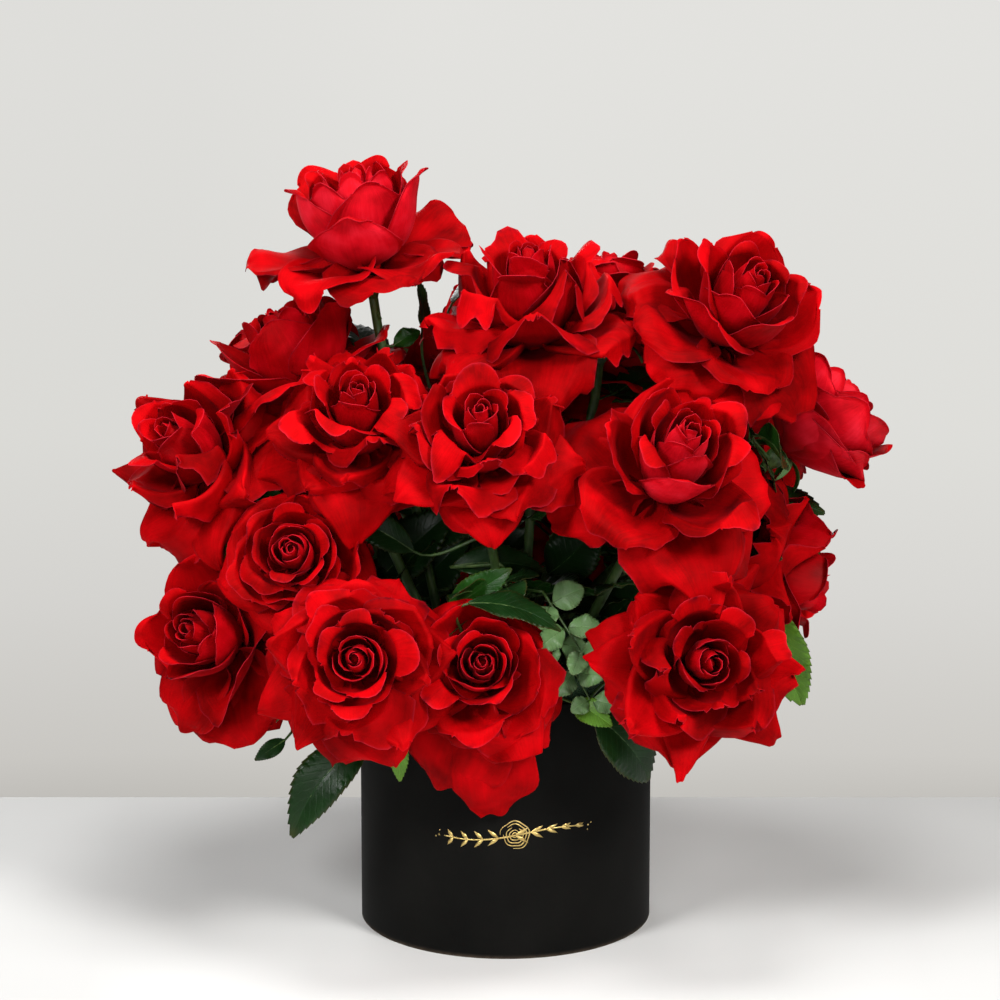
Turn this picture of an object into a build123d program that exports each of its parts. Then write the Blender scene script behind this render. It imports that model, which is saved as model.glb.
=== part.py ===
from build123d import *
import math
import os

# Round hat box of red roses: a paper-covered greyboard drum, a plastic water
# liner with floral foam, and open rose heads on bent stems with loose leaves.
# Millimetres, +Z up. Origin: centre of the underside of the box, on its axis.
# -Y is the front of the box (the side with the foil ornament).

# ---- box ---------------------------------------------------------------
BOX_D = 180.0          # outside diameter over the paper
BOX_H = 160.0          # outside height over the turned-in paper
WRAP_T = 0.4           # thickness of the covering paper
BOARD_T = 2.0          # greyboard wall
BASE_T = 3.0           # greyboard base disc
HEM = 12.0             # depth of the paper turned in over the rim

# ---- liner and foam ----------------------------------------------------
LINER_D = 169.0        # outside diameter of the water liner
LINER_T = 1.0          # its wall and floor
LINER_H = 150.0        # height of its rim above the table
FOAM_GAP = 0.2         # foam to liner wall
FOAM_TOP = 178.0       # foam stands proud of the rim for the low side stems
FOAM_CHAMFER = 6.0

# ---- flowers -----------------------------------------------------------
STEM_D = 6.2           # stem diameter
HIP_D = 12.6           # swelling under the petals
HIP_L = 13.0
BEND_R = 26.0          # radius of the bend where a stem turns towards its flower
LEAF_T = 0.6

# number, hip point, flower axis, head radius, head height, entry point on the
# foam (x, y at 4 mm under its top), straight length under the hip, depth in foam
ROSES = [
    ( 1, (-82.9, 27.4, 399.5), (-0.140, -0.020, 0.990), 56, 58, (-38.8, 12.0), 31.4, 40.7),
    ( 2, (-115.7, 24.5, 320.4), (-0.377, 0.121, 0.918), 46, 50, (-55.6, 11.4), 33.9, 39.4),
    ( 3, (-88.4, -43.4, 311.5), (0.005, -0.603, 0.798), 50, 52, (-39.3, -24.7), 34.4, 40.2),
    ( 4, (-173.1, -9.2, 287.3), (-0.623, -0.504, 0.598), 50, 52, (-69.9, -3.6), 34.0, 40.0),
    ( 5, (-14.8, -86.7, 311.3), (-0.002, -0.652, 0.758), 47, 52, (5.4, -45.5), 32.2, 39.5),
    ( 6, (17.2, -18.1, 364.2), (-0.050, -0.120, 0.991), 52, 54, (10.3, -11.8), 34.0, 40.0),
    ( 7, (59.6, 60.6, 350.2), (0.118, 0.289, 0.950), 44, 48, (16.3, 31.0), 34.5, 40.1),
    ( 8, (126.4, -6.9, 367.8), (0.421, -0.521, 0.742), 52, 54, (56.9, -5.4), 36.3, 38.6),
    ( 9, (169.6, 33.4, 286.7), (0.747, 0.222, 0.626), 52, 52, (68.7, 13.5), 34.0, 40.0),
    (10, (91.2, -74.8, 288.6), (0.250, -0.649, 0.719), 52, 54, (38.7, -30.1), 35.9, 38.7),
    (11, (143.8, 11.6, 220.6), (0.951, -0.042, -0.308), 42, 50, (51.4, 5.6), 27.8, 39.9),
    (12, (109.3, -103.3, 192.0), (0.251, -0.935, 0.251), 50, 50, (46.1, -43.6), 34.0, 40.0),
    (13, (-123.0, -59.4, 242.2), (-0.118, -0.894, 0.432), 38, 48, (-60.0, -24.0), 25.0, 40.5),
    (14, (-162.1, -37.5, 185.9), (-0.559, -0.747, 0.360), 46, 50, (-66.7, -15.4), 32.7, 40.2),
    (15, (-86.4, -115.5, 196.5), (-0.043, -0.950, 0.309), 48, 48, (-37.1, -44.9), 34.0, 40.0),
    (16, (-14.1, -90.4, 182.7), (0.000, -0.925, 0.381), 44, 50, (-8.1, -50.1), 34.0, 39.6),
    (17, (-21.6, 88.0, 304.7), (-0.162, 0.358, 0.920), 46, 50, (-9.2, 42.2), 33.6, 41.5),
    (18, (64.1, 104.3, 292.1), (0.185, 0.415, 0.891), 50, 52, (27.0, 47.4), 34.0, 40.0),
    (19, (1.8, 156.4, 314.6), (-0.110, 0.742, 0.661), 48, 52, (0.7, 65.6), 22.4, 40.2),
    (20, (-122.4, 107.7, 309.7), (-0.724, 0.316, 0.613), 50, 52, (-40.7, 40.9), 33.9, 39.8),
    (21, (134.9, 111.7, 283.2), (0.695, 0.695, 0.183), 50, 52, (54.0, 44.6), 34.0, 40.0),
    (22, (56.5, 155.6, 267.1), (0.247, 0.963, -0.103), 50, 52, (18.5, 58.2), 28.7, 39.9),
    (23, (-92.3, 145.3, 253.0), (-0.374, 0.891, -0.258), 50, 52, (-25.8, 43.1), 28.6, 38.1),
    (24, (-163.7, 81.6, 263.9), (-0.917, 0.253, -0.308), 50, 52, (-42.1, 27.3), 22.0, 39.9),
    (25, (89.6, 112.6, 193.5), (0.512, 0.615, -0.600), 48, 50, (31.9, 37.1), 22.0, 40.8),
    (26, (-1.5, 127.1, 204.1), (0.030, 0.925, -0.379), 48, 50, (-11.9, 60.1), 22.0, 28.1),
]

# group, stalk end, tip, face direction, width of each loose leaf
LEAVES = [
    ("front", (-55.5, -65.5, 250.8), (-99.6, -61.7, 273.7), (-0.226, -0.774, 0.592), 20.4),
    ("front", (-31.5, -44.6, 236.7), (24.2, -40.1, 232.5), (0.174, -0.743, 0.646), 22.8),
    ("front", (-35.0, -75.6, 216.7), (2.8, -88.1, 245.5), (0.207, -0.83, 0.518), 20.0),
    ("front", (-21.2, -118.0, 234.6), (33.2, -116.0, 216.8), (0.05, -0.4, 0.915), 24.0),
    ("front", (25.2, -84.0, 225.2), (44.3, -96.0, 197.5), (0.202, -0.958, 0.202), 22.0),
    ("front", (30.5, -85.7, 201.7), (50.3, -103.0, 168.4), (-0.015, -0.963, 0.27), 23.8),
    ("front", (39.6, -100.0, 166.3), (63.3, -112.0, 155.0), (0.0, -0.848, 0.53), 16.0),
    ("front", (55.2, -100.0, 157.6), (87.7, -84.0, 111.1), (0.406, -0.862, 0.304), 34.0),
    ("front", (-84.3, -84.0, 138.9), (-130.0, -96.0, 80.0), (-0.309, -0.928, 0.206), 31.0),
    ("front", (-133.8, -70.0, 133.3), (-151.6, -80.0, 123.7), (0.0, -0.949, 0.316), 10.0),
    ("front", (-72.2, -106.0, 155.6), (-63.5, -104.0, 117.4), (0.0, -0.995, 0.1), 13.0),
    ("sides", (162.0, -30.7, 205.9), (181.5, -32.1, 143.0), (-0.366, -0.93, 0.046), 35.8),
    ("sides", (146.6, -19.7, 226.4), (153.8, -32.7, 184.1), (-0.68, -0.652, -0.335), 18.8),
    ("sides", (147.8, 9.4, 260.0), (169.4, -3.9, 252.3), (0.508, -0.302, 0.807), 19.3),
    ("sides", (-148.3, -31.2, 234.0), (-181.7, -40.2, 247.8), (0.222, 0.108, 0.969), 18.3),
    ("sides", (-50.1, 26.0, 361.5), (-53.0, 22.0, 399.8), (0.914, -0.406, 0.0), 15.0),
    ("sides", (-68.5, 24.0, 357.5), (-52.5, 28.0, 365.5), (0.301, -0.697, 0.651), 11.8),
    ("sides", (-150.3, 32.4, 221.6), (-168.1, -0.7, 198.0), (-0.857, 0.51, -0.068), 25.8),
    ("back", (-33.7, 43.7, 382.0), (4.1, 78.0, 394.9), (-0.418, 0.122, 0.9), 26.7),
    ("back", (141.0, 64.8, 221.6), (154.9, 109.3, 227.0), (0.873, -0.219, -0.436), 24.8),
    ("sides", (155.4, -18.3, 311.3), (166.8, -64.3, 302.6), (0.925, 0.164, 0.343), 27.7),
    ("back", (-68.4, 136.3, 328.6), (-80.4, 165.3, 290.6), (-0.4, 0.662, 0.634), 24.7),
    ("back", (111.1, 48.6, 360.6), (147.5, 15.6, 350.2), (0.579, 0.421, 0.698), 29.7),
    ("back", (-22.1, 162.5, 284.7), (-4.7, 185.6, 246.3), (-0.288, 0.872, 0.395), 27.3),
    ("sides", (-171.1, -1.9, 274.8), (-189.1, 23.6, 237.4), (-0.89, -0.309, 0.334), 27.2),
    ("back", (4.9, 118.2, 347.1), (27.2, 105.3, 390.5), (-0.112, 0.935, 0.335), 25.4),
    ("back", (-161.8, 30.5, 279.8), (-184.8, 58.0, 324.2), (-0.914, -0.163, -0.371), 32.3),
    ("back", (-118.6, 95.1, 214.5), (-163.0, 77.8, 215.0), (-0.333, 0.839, -0.432), 24.8),
    ("back", (103.8, 101.0, 331.8), (135.4, 67.0, 365.5), (0.509, 0.827, 0.239), 29.0),
    ("sides", (89.0, 25.8, 362.2), (76.2, -16.4, 399.9), (0.773, 0.277, 0.571), 33.4),
    ("back", (119.7, 111.3, 247.2), (109.0, 156.3, 234.7), (0.974, 0.224, -0.034), 28.4),
    ("back", (-128.7, 115.1, 287.0), (-155.4, 110.2, 240.9), (-0.645, 0.603, 0.47), 27.5),
    ("sides", (-155.7, -43.2, 279.8), (-178.5, -48.5, 235.6), (-0.446, -0.883, 0.148), 26.2),
]

HEAD_PROFILE = [(0.26, 0.0), (0.80, 0.18), (1.0, 0.38), (0.92, 0.62), (0.60, 0.89), (0.28, 1.0)]

os.makedirs("parts", exist_ok=True)


def save(shape, node):
    shape.label = node
    export_step(shape, "parts/" + node + ".step")


def ring_solid(points):
    """Solid of revolution about Z from (r, z) points."""
    face = make_face(Polyline(*[(r, 0, z) for r, z in points], close=True))
    return revolve(face, Axis.Z)


def solid_of(shape):
    s = shape.solids()
    return s[0] if len(s) == 1 else Compound(children=list(s))


# ---- box pieces --------------------------------------------------------
R_OUT = BOX_D / 2
R_WALL = R_OUT - WRAP_T
R_IN = R_WALL - BOARD_T
save(solid_of(ring_solid([(0, 0), (R_IN, 0), (R_IN, BASE_T), (0, BASE_T)])), "box_base")
save(solid_of(ring_solid([(R_IN, 0), (R_WALL, 0), (R_WALL, BOX_H - WRAP_T), (R_IN, BOX_H - WRAP_T)])), "box_wall")
save(solid_of(ring_solid([
    (R_WALL, 0), (R_OUT, 0), (R_OUT, BOX_H), (R_IN - WRAP_T, BOX_H),
    (R_IN - WRAP_T, BOX_H - HEM), (R_IN, BOX_H - HEM), (R_IN, BOX_H - WRAP_T), (R_WALL, BOX_H - WRAP_T)])), "box_wrap")

RL = LINER_D / 2
Z0 = BASE_T
save(solid_of(ring_solid([
    (0, Z0), (RL, Z0), (RL, LINER_H), (RL - LINER_T, LINER_H), (RL - LINER_T, Z0 + LINER_T), (0, Z0 + LINER_T)])), "water_liner")

# ---- stems, each with its hip ------------------------------------------
def v3(t):
    return Vector(*t)


def make_stem(hip, axis, entry, straight, depth):
    H, n = v3(hip), v3(axis).normalized()
    P1 = H - n * straight
    E = Vector(entry[0], entry[1], FOAM_TOP - 4.0)
    d = (P1 - E).normalized()
    P0 = E - d * depth
    top = H - n * 2.0
    a, b = (P0 - P1).normalized(), (top - P1).normalized()
    phi = math.acos(max(-1.0, min(1.0, a.dot(b))))
    t = BEND_R / math.tan(phi / 2)
    t = min(t, 0.9 * (top - P1).length, 0.9 * (P0 - P1).length)
    radius = t * math.tan(phi / 2)
    if math.degrees(phi) > 178.5:
        path = Wire([Edge.make_line(P0, top)])
        start = (top - P0).normalized()
    else:
        A, B = P1 + a * t, P1 + b * t
        bis = (a + b).normalized()
        cen = P1 + bis * (radius / math.sin(phi / 2))
        mid = cen - bis * radius
        path = Wire([Edge.make_line(P0, A), Edge.make_three_point_arc(A, mid, B), Edge.make_line(B, top)])
        start = (P1 - P0).normalized()
    prof = Plane(origin=P0, z_dir=start) * Circle(STEM_D / 2)
    tube = sweep(prof, path=path)
    r = HIP_D / 2
    hipface = make_face(Polyline((0, 0, 0), (r * 0.86, 0, 0), (r, 0, -3.0), (r, 0, -6.0), (r * 0.72, 0, -10.0), (STEM_D / 2 + 0.05, 0, -HIP_L), (0, 0, -HIP_L), close=True))
    hip_s = Plane(origin=H, z_dir=n) * revolve(hipface, Axis.Z)
    s = tube + hip_s
    return s


def make_head(hip, axis, radius, height):
    pts = [(0, 0, 0)] + [(r * radius, 0, z * height) for r, z in HEAD_PROFILE] + [(0, 0, height)]
    s = revolve(make_face(Polyline(*pts, close=True)), Axis.Z)
    return Plane(origin=v3(hip), z_dir=v3(axis).normalized()) * s


stems = {}
for num, hip, axis, radius, height, entry, straight, depth in ROSES:
    st = make_stem(hip, axis, entry, straight, depth)
    stems[num] = st
    save(solid_of(st), f"rose_{num:02d}_stem")
    save(solid_of(make_head(hip, axis, radius, height)), f"rose_{num:02d}_head")

# ---- foam, bored by the stems ------------------------------------------
RF = RL - LINER_T - FOAM_GAP
foam = ring_solid([
    (0, Z0 + LINER_T), (RF, Z0 + LINER_T), (RF, FOAM_TOP - FOAM_CHAMFER), (RF - FOAM_CHAMFER, FOAM_TOP), (0, FOAM_TOP)])
for num in stems:
    foam = foam - stems[num]
save(solid_of(foam), "floral_foam")

# ---- loose leaves: thin pointed plates, drawn in groups -----------------
def make_leaf(base, tip, face_dir, width):
    B, T = v3(base), v3(tip)
    ax = (T - B)
    ln = ax.length
    ax = ax.normalized()
    n = v3(face_dir)
    n = (n - ax * n.dot(ax)).normalized()
    pts = []
    for k in range(13):
        t = k / 12
        hw = width / 2 * math.sin(math.pi * t ** 0.85) ** 0.8 if 0 < k < 12 else 0.6
        pts.append((t * ln, hw))
    outline = [(x, y) for x, y in pts] + [(x, -y) for x, y in reversed(pts)]
    face = make_face(Polyline(*[(x, y, 0) for x, y in outline], close=True))
    plate = extrude(face, amount=LEAF_T / 2, dir=(0, 0, 1), both=True)
    return Plane(origin=B, x_dir=ax, z_dir=n) * plate


groups = {}
for g, base, tip, face_dir, width in LEAVES:
    groups.setdefault(g, []).append(make_leaf(base, tip, face_dir, width))
for g, items in groups.items():
    save(Compound(children=[solid_of(i) for i in items]), "foliage_" + g)
print("pieces", 5 + 2 * len(ROSES) + len(groups))
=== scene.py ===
import bpy
import math
import numpy as np
from mathutils import Matrix, Vector


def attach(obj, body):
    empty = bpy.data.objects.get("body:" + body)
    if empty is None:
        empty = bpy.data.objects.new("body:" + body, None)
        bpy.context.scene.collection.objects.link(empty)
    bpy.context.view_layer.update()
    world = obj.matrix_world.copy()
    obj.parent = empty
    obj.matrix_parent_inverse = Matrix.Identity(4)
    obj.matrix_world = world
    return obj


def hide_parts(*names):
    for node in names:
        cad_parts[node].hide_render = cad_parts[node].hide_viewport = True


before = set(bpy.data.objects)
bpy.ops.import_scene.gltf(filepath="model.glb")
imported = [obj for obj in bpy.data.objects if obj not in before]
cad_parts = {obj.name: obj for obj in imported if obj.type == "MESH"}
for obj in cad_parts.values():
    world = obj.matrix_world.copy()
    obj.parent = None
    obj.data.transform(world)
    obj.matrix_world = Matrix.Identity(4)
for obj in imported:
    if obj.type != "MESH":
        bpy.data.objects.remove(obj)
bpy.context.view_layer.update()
scene = bpy.context.scene
ARR, BOX = "arrangement", "box"

# number, hip point (mm), flower axis, entry point on the foam, straight length, depth
ROSES = {
    1: ((-82.9, 27.4, 399.5), (-0.140, -0.020, 0.990), (-38.8, 12.0), 31.4, 40.7, 56),
    2: ((-115.7, 24.5, 320.4), (-0.377, 0.121, 0.918), (-55.6, 11.4), 33.9, 39.4, 46),
    3: ((-88.4, -43.4, 311.5), (0.005, -0.603, 0.798), (-39.3, -24.7), 34.4, 40.2, 50),
    4: ((-173.1, -9.2, 287.3), (-0.623, -0.504, 0.598), (-69.9, -3.6), 34.0, 40.0, 50),
    5: ((-14.8, -86.7, 311.3), (-0.002, -0.652, 0.758), (5.4, -45.5), 32.2, 39.5, 47),
    6: ((17.2, -18.1, 364.2), (-0.050, -0.120, 0.991), (10.3, -11.8), 34.0, 40.0, 52),
    7: ((59.6, 60.6, 350.2), (0.118, 0.289, 0.950), (16.3, 31.0), 34.5, 40.1, 44),
    8: ((126.4, -6.9, 367.8), (0.421, -0.521, 0.742), (56.9, -5.4), 36.3, 38.6, 52),
    9: ((169.6, 33.4, 286.7), (0.747, 0.222, 0.626), (68.7, 13.5), 34.0, 40.0, 52),
    10: ((91.2, -74.8, 288.6), (0.250, -0.649, 0.719), (38.7, -30.1), 35.9, 38.7, 52),
    11: ((143.8, 11.6, 220.6), (0.951, -0.042, -0.308), (51.4, 5.6), 27.8, 39.9, 42),
    12: ((109.3, -103.3, 192.0), (0.251, -0.935, 0.251), (46.1, -43.6), 34.0, 40.0, 50),
    13: ((-123.0, -59.4, 242.2), (-0.118, -0.894, 0.432), (-60.0, -24.0), 25.0, 40.5, 38),
    14: ((-162.1, -37.5, 185.9), (-0.559, -0.747, 0.360), (-66.7, -15.4), 32.7, 40.2, 46),
    15: ((-86.4, -115.5, 196.5), (-0.043, -0.950, 0.309), (-37.1, -44.9), 34.0, 40.0, 48),
    16: ((-14.1, -90.4, 182.7), (0.000, -0.925, 0.381), (-8.1, -50.1), 34.0, 39.6, 44),
    17: ((-21.6, 88.0, 304.7), (-0.162, 0.358, 0.920), (-9.2, 42.2), 33.6, 41.5, 46),
    18: ((64.1, 104.3, 292.1), (0.185, 0.415, 0.891), (27.0, 47.4), 34.0, 40.0, 50),
    19: ((1.8, 156.4, 314.6), (-0.110, 0.742, 0.661), (0.7, 65.6), 22.4, 40.2, 48),
    20: ((-122.4, 107.7, 309.7), (-0.724, 0.316, 0.613), (-40.7, 40.9), 33.9, 39.8, 50),
    21: ((134.9, 111.7, 283.2), (0.695, 0.695, 0.183), (54.0, 44.6), 34.0, 40.0, 50),
    22: ((56.5, 155.6, 267.1), (0.247, 0.963, -0.103), (18.5, 58.2), 28.7, 39.9, 50),
    23: ((-92.3, 145.3, 253.0), (-0.374, 0.891, -0.258), (-25.8, 43.1), 28.6, 38.1, 50),
    24: ((-163.7, 81.6, 263.9), (-0.917, 0.253, -0.308), (-42.1, 27.3), 22.0, 39.9, 50),
    25: ((89.6, 112.6, 193.5), (0.512, 0.615, -0.600), (31.9, 37.1), 22.0, 40.8, 48),
    26: ((-1.5, 127.1, 204.1), (0.030, 0.925, -0.379), (-11.9, 60.1), 22.0, 28.1, 48),
}
# name, stalk end, tip, face direction, width (mm)
LEAVES = [
    ("leaf_f01", "foliage_front", (-55.5, -65.5, 250.8), (-99.6, -61.7, 273.7), (-0.226, -0.774, 0.592), 20.4, "leaf_dark"),
    ("leaf_f02", "foliage_front", (-31.5, -44.6, 236.7), (24.2, -40.1, 232.5), (0.174, -0.743, 0.646), 22.8, "leaf_dark"),
    ("leaf_f03", "foliage_front", (-35.0, -75.6, 216.7), (2.8, -88.1, 245.5), (0.207, -0.83, 0.518), 20.0, "leaf_mid"),
    ("leaf_f04", "foliage_front", (-21.2, -118.0, 234.6), (33.2, -116.0, 216.8), (0.05, -0.4, 0.915), 24.0, "leaf_dark"),
    ("leaf_f05", "foliage_front", (25.2, -84.0, 225.2), (44.3, -96.0, 197.5), (0.202, -0.958, 0.202), 22.0, "leaf_dusty"),
    ("leaf_f06", "foliage_front", (30.5, -85.7, 201.7), (50.3, -103.0, 168.4), (-0.015, -0.963, 0.27), 23.8, "leaf_dusty"),
    ("leaf_r01", "foliage_front", (39.6, -100.0, 166.3), (63.3, -112.0, 155.0), (0.0, -0.848, 0.53), 16.0, "leaf_light"),
    ("leaf_r02", "foliage_front", (55.2, -100.0, 157.6), (87.7, -84.0, 111.1), (0.406, -0.862, 0.304), 34.0, "leaf_dark"),
    ("leaf_r03", "foliage_front", (-84.3, -84.0, 138.9), (-130.0, -96.0, 80.0), (-0.309, -0.928, 0.206), 31.0, "leaf_dark"),
    ("leaf_r04", "foliage_front", (-133.8, -70.0, 133.3), (-151.6, -80.0, 123.7), (0.0, -0.949, 0.316), 10.0, "leaf_dark"),
    ("leaf_r05", "foliage_front", (-72.2, -106.0, 155.6), (-63.5, -104.0, 117.4), (0.0, -0.995, 0.1), 13.0, "leaf_light"),
    ("leaf_g01", "foliage_sides", (162.0, -30.7, 205.9), (181.5, -32.1, 143.0), (-0.366, -0.93, 0.046), 35.8, "leaf_light"),
    ("leaf_g02", "foliage_sides", (146.6, -19.7, 226.4), (153.8, -32.7, 184.1), (-0.68, -0.652, -0.335), 18.8, "leaf_dark"),
    ("leaf_g03", "foliage_sides", (147.8, 9.4, 260.0), (169.4, -3.9, 252.3), (0.508, -0.302, 0.807), 19.3, "leaf_dark"),
    ("leaf_l01", "foliage_sides", (-148.3, -31.2, 234.0), (-181.7, -40.2, 247.8), (0.222, 0.108, 0.969), 18.3, "leaf_mid"),
    ("leaf_l02", "foliage_sides", (-50.1, 26.0, 361.5), (-53.0, 22.0, 399.8), (0.914, -0.406, 0.0), 15.0, "leaf_dark"),
    ("leaf_l03", "foliage_sides", (-68.5, 24.0, 357.5), (-52.5, 28.0, 365.5), (0.301, -0.697, 0.651), 11.8, "leaf_mid"),
    ("leaf_b01", "foliage_sides", (-150.3, 32.4, 221.6), (-168.1, -0.7, 198.0), (-0.857, 0.51, -0.068), 25.8, "leaf_dark"),
    ("leaf_b03", "foliage_back", (-33.7, 43.7, 382.0), (4.1, 78.0, 394.9), (-0.418, 0.122, 0.9), 26.7, "leaf_mid"),
    ("leaf_b04", "foliage_back", (141.0, 64.8, 221.6), (154.9, 109.3, 227.0), (0.873, -0.219, -0.436), 24.8, "leaf_dark"),
    ("leaf_b05", "foliage_sides", (155.4, -18.3, 311.3), (166.8, -64.3, 302.6), (0.925, 0.164, 0.343), 27.7, "leaf_dark"),
    ("leaf_b06", "foliage_back", (-68.4, 136.3, 328.6), (-80.4, 165.3, 290.6), (-0.4, 0.662, 0.634), 24.7, "leaf_mid"),
    ("leaf_b07", "foliage_back", (111.1, 48.6, 360.6), (147.5, 15.6, 350.2), (0.579, 0.421, 0.698), 29.7, "leaf_dark"),
    ("leaf_b08", "foliage_back", (-22.1, 162.5, 284.7), (-4.7, 185.6, 246.3), (-0.288, 0.872, 0.395), 27.3, "leaf_dark"),
    ("leaf_b09", "foliage_sides", (-171.1, -1.9, 274.8), (-189.1, 23.6, 237.4), (-0.89, -0.309, 0.334), 27.2, "leaf_mid"),
    ("leaf_b10", "foliage_back", (4.9, 118.2, 347.1), (27.2, 105.3, 390.5), (-0.112, 0.935, 0.335), 25.4, "leaf_dark"),
    ("leaf_b11", "foliage_back", (-161.8, 30.5, 279.8), (-184.8, 58.0, 324.2), (-0.914, -0.163, -0.371), 32.3, "leaf_dark"),
    ("leaf_b12", "foliage_back", (-118.6, 95.1, 214.5), (-163.0, 77.8, 215.0), (-0.333, 0.839, -0.432), 24.8, "leaf_mid"),
    ("leaf_b13", "foliage_back", (103.8, 101.0, 331.8), (135.4, 67.0, 365.5), (0.509, 0.827, 0.239), 29.0, "leaf_dark"),
    ("leaf_b14", "foliage_sides", (89.0, 25.8, 362.2), (76.2, -16.4, 399.9), (0.773, 0.277, 0.571), 33.4, "leaf_dark"),
    ("leaf_b15", "foliage_back", (119.7, 111.3, 247.2), (109.0, 156.3, 234.7), (0.974, 0.224, -0.034), 28.4, "leaf_mid"),
    ("leaf_b16", "foliage_back", (-128.7, 115.1, 287.0), (-155.4, 110.2, 240.9), (-0.645, 0.603, 0.47), 27.5, "leaf_dark"),
    ("leaf_b18", "foliage_sides", (-155.7, -43.2, 279.8), (-178.5, -48.5, 235.6), (-0.446, -0.883, 0.148), 26.2, "leaf_mid"),
]


def link(ob):
    scene.collection.objects.link(ob)
    return ob


def mesh_from(name, verts, faces, scale=.001, smooth=True, mats=None):
    me = bpy.data.meshes.new(name)
    me.from_pydata((np.asarray(verts, float) * scale).tolist(), [], [list(map(int, f)) for f in faces])
    me.update()
    if smooth:
        me.polygons.foreach_set('use_smooth', np.ones(len(me.polygons), bool))
    if mats is not None:
        me.polygons.foreach_set('material_index', np.asarray(mats, np.int32))
    return me


# ------------------------------------------------------------ camera
cam = bpy.data.cameras.new("camera")
cam_ob = link(bpy.data.objects.new("camera", cam))
cam.sensor_width = 36.0
cam.lens = 171.6
cam.clip_end = 50
cam_ob.location = (-.0035, -2.8331, .9866)
cam_ob.rotation_euler = (math.radians(90 - 14.28), 0, 0)
scene.camera = cam_ob
scene.view_settings.view_transform = 'Standard'

# ------------------------------------------------------------ shader helpers
def new_mat(name):
    m = bpy.data.materials.new(name)
    m.use_nodes = True
    nt = m.node_tree
    nt.nodes.clear()
    out = nt.nodes.new('ShaderNodeOutputMaterial')
    b = nt.nodes.new('ShaderNodeBsdfPrincipled')
    nt.links.new(b.outputs[0], out.inputs[0])
    return m, nt, b


def ramp(nt, fac, stops):
    r = nt.nodes.new('ShaderNodeValToRGB')
    el = r.color_ramp.elements
    while len(el) > 1:
        el.remove(el[-1])
    el[0].position = stops[0][0]
    el[0].color = (*stops[0][1], 1)
    for p, c in stops[1:]:
        e = el.new(p)
        e.color = (*c, 1)
    nt.links.new(fac, r.inputs['Fac'])
    return r.outputs['Color']


def mth(nt, op, a, b=None, clamp=False):
    n = nt.nodes.new('ShaderNodeMath')
    n.operation = op
    n.use_clamp = clamp
    for k, v in enumerate((a, b)):
        if v is None:
            continue
        if isinstance(v, (int, float)):
            n.inputs[k].default_value = v
        else:
            nt.links.new(v, n.inputs[k])
    return n.outputs[0]


def mixc(nt, fac, a, b, mode='MIX'):
    n = nt.nodes.new('ShaderNodeMix')
    n.data_type = 'RGBA'
    n.blend_type = mode
    for s, v in ((n.inputs[0], fac), (n.inputs[6], a), (n.inputs[7], b)):
        if isinstance(v, (int, float)):
            s.default_value = v
        elif isinstance(v, tuple):
            s.default_value = (*v, 1)
        else:
            nt.links.new(v, s)
    return n.outputs[2]


def noise(nt, vec, scale, detail=2.0, rough=.5):
    n = nt.nodes.new('ShaderNodeTexNoise')
    n.inputs['Scale'].default_value = scale
    n.inputs['Detail'].default_value = detail
    n.inputs['Roughness'].default_value = rough
    nt.links.new(vec, n.inputs['Vector'])
    return n.outputs['Fac']


def bump(nt, b, height, strength, dist):
    n = nt.nodes.new('ShaderNodeBump')
    n.inputs['Strength'].default_value = strength
    n.inputs['Distance'].default_value = dist
    nt.links.new(height, n.inputs['Height'])
    nt.links.new(n.outputs[0], b.inputs['Normal'])


def coords(nt, which='Object'):
    return nt.nodes.new('ShaderNodeTexCoord').outputs[which]


def uv_split(nt, name):
    uv = nt.nodes.new('ShaderNodeUVMap')
    uv.uv_map = name
    s = nt.nodes.new('ShaderNodeSeparateXYZ')
    nt.links.new(uv.outputs[0], s.inputs[0])
    return s.outputs[0], s.outputs[1]


def attr(nt, name):
    a = nt.nodes.new('ShaderNodeAttribute')
    a.attribute_name = name
    return a.outputs['Fac']

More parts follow.
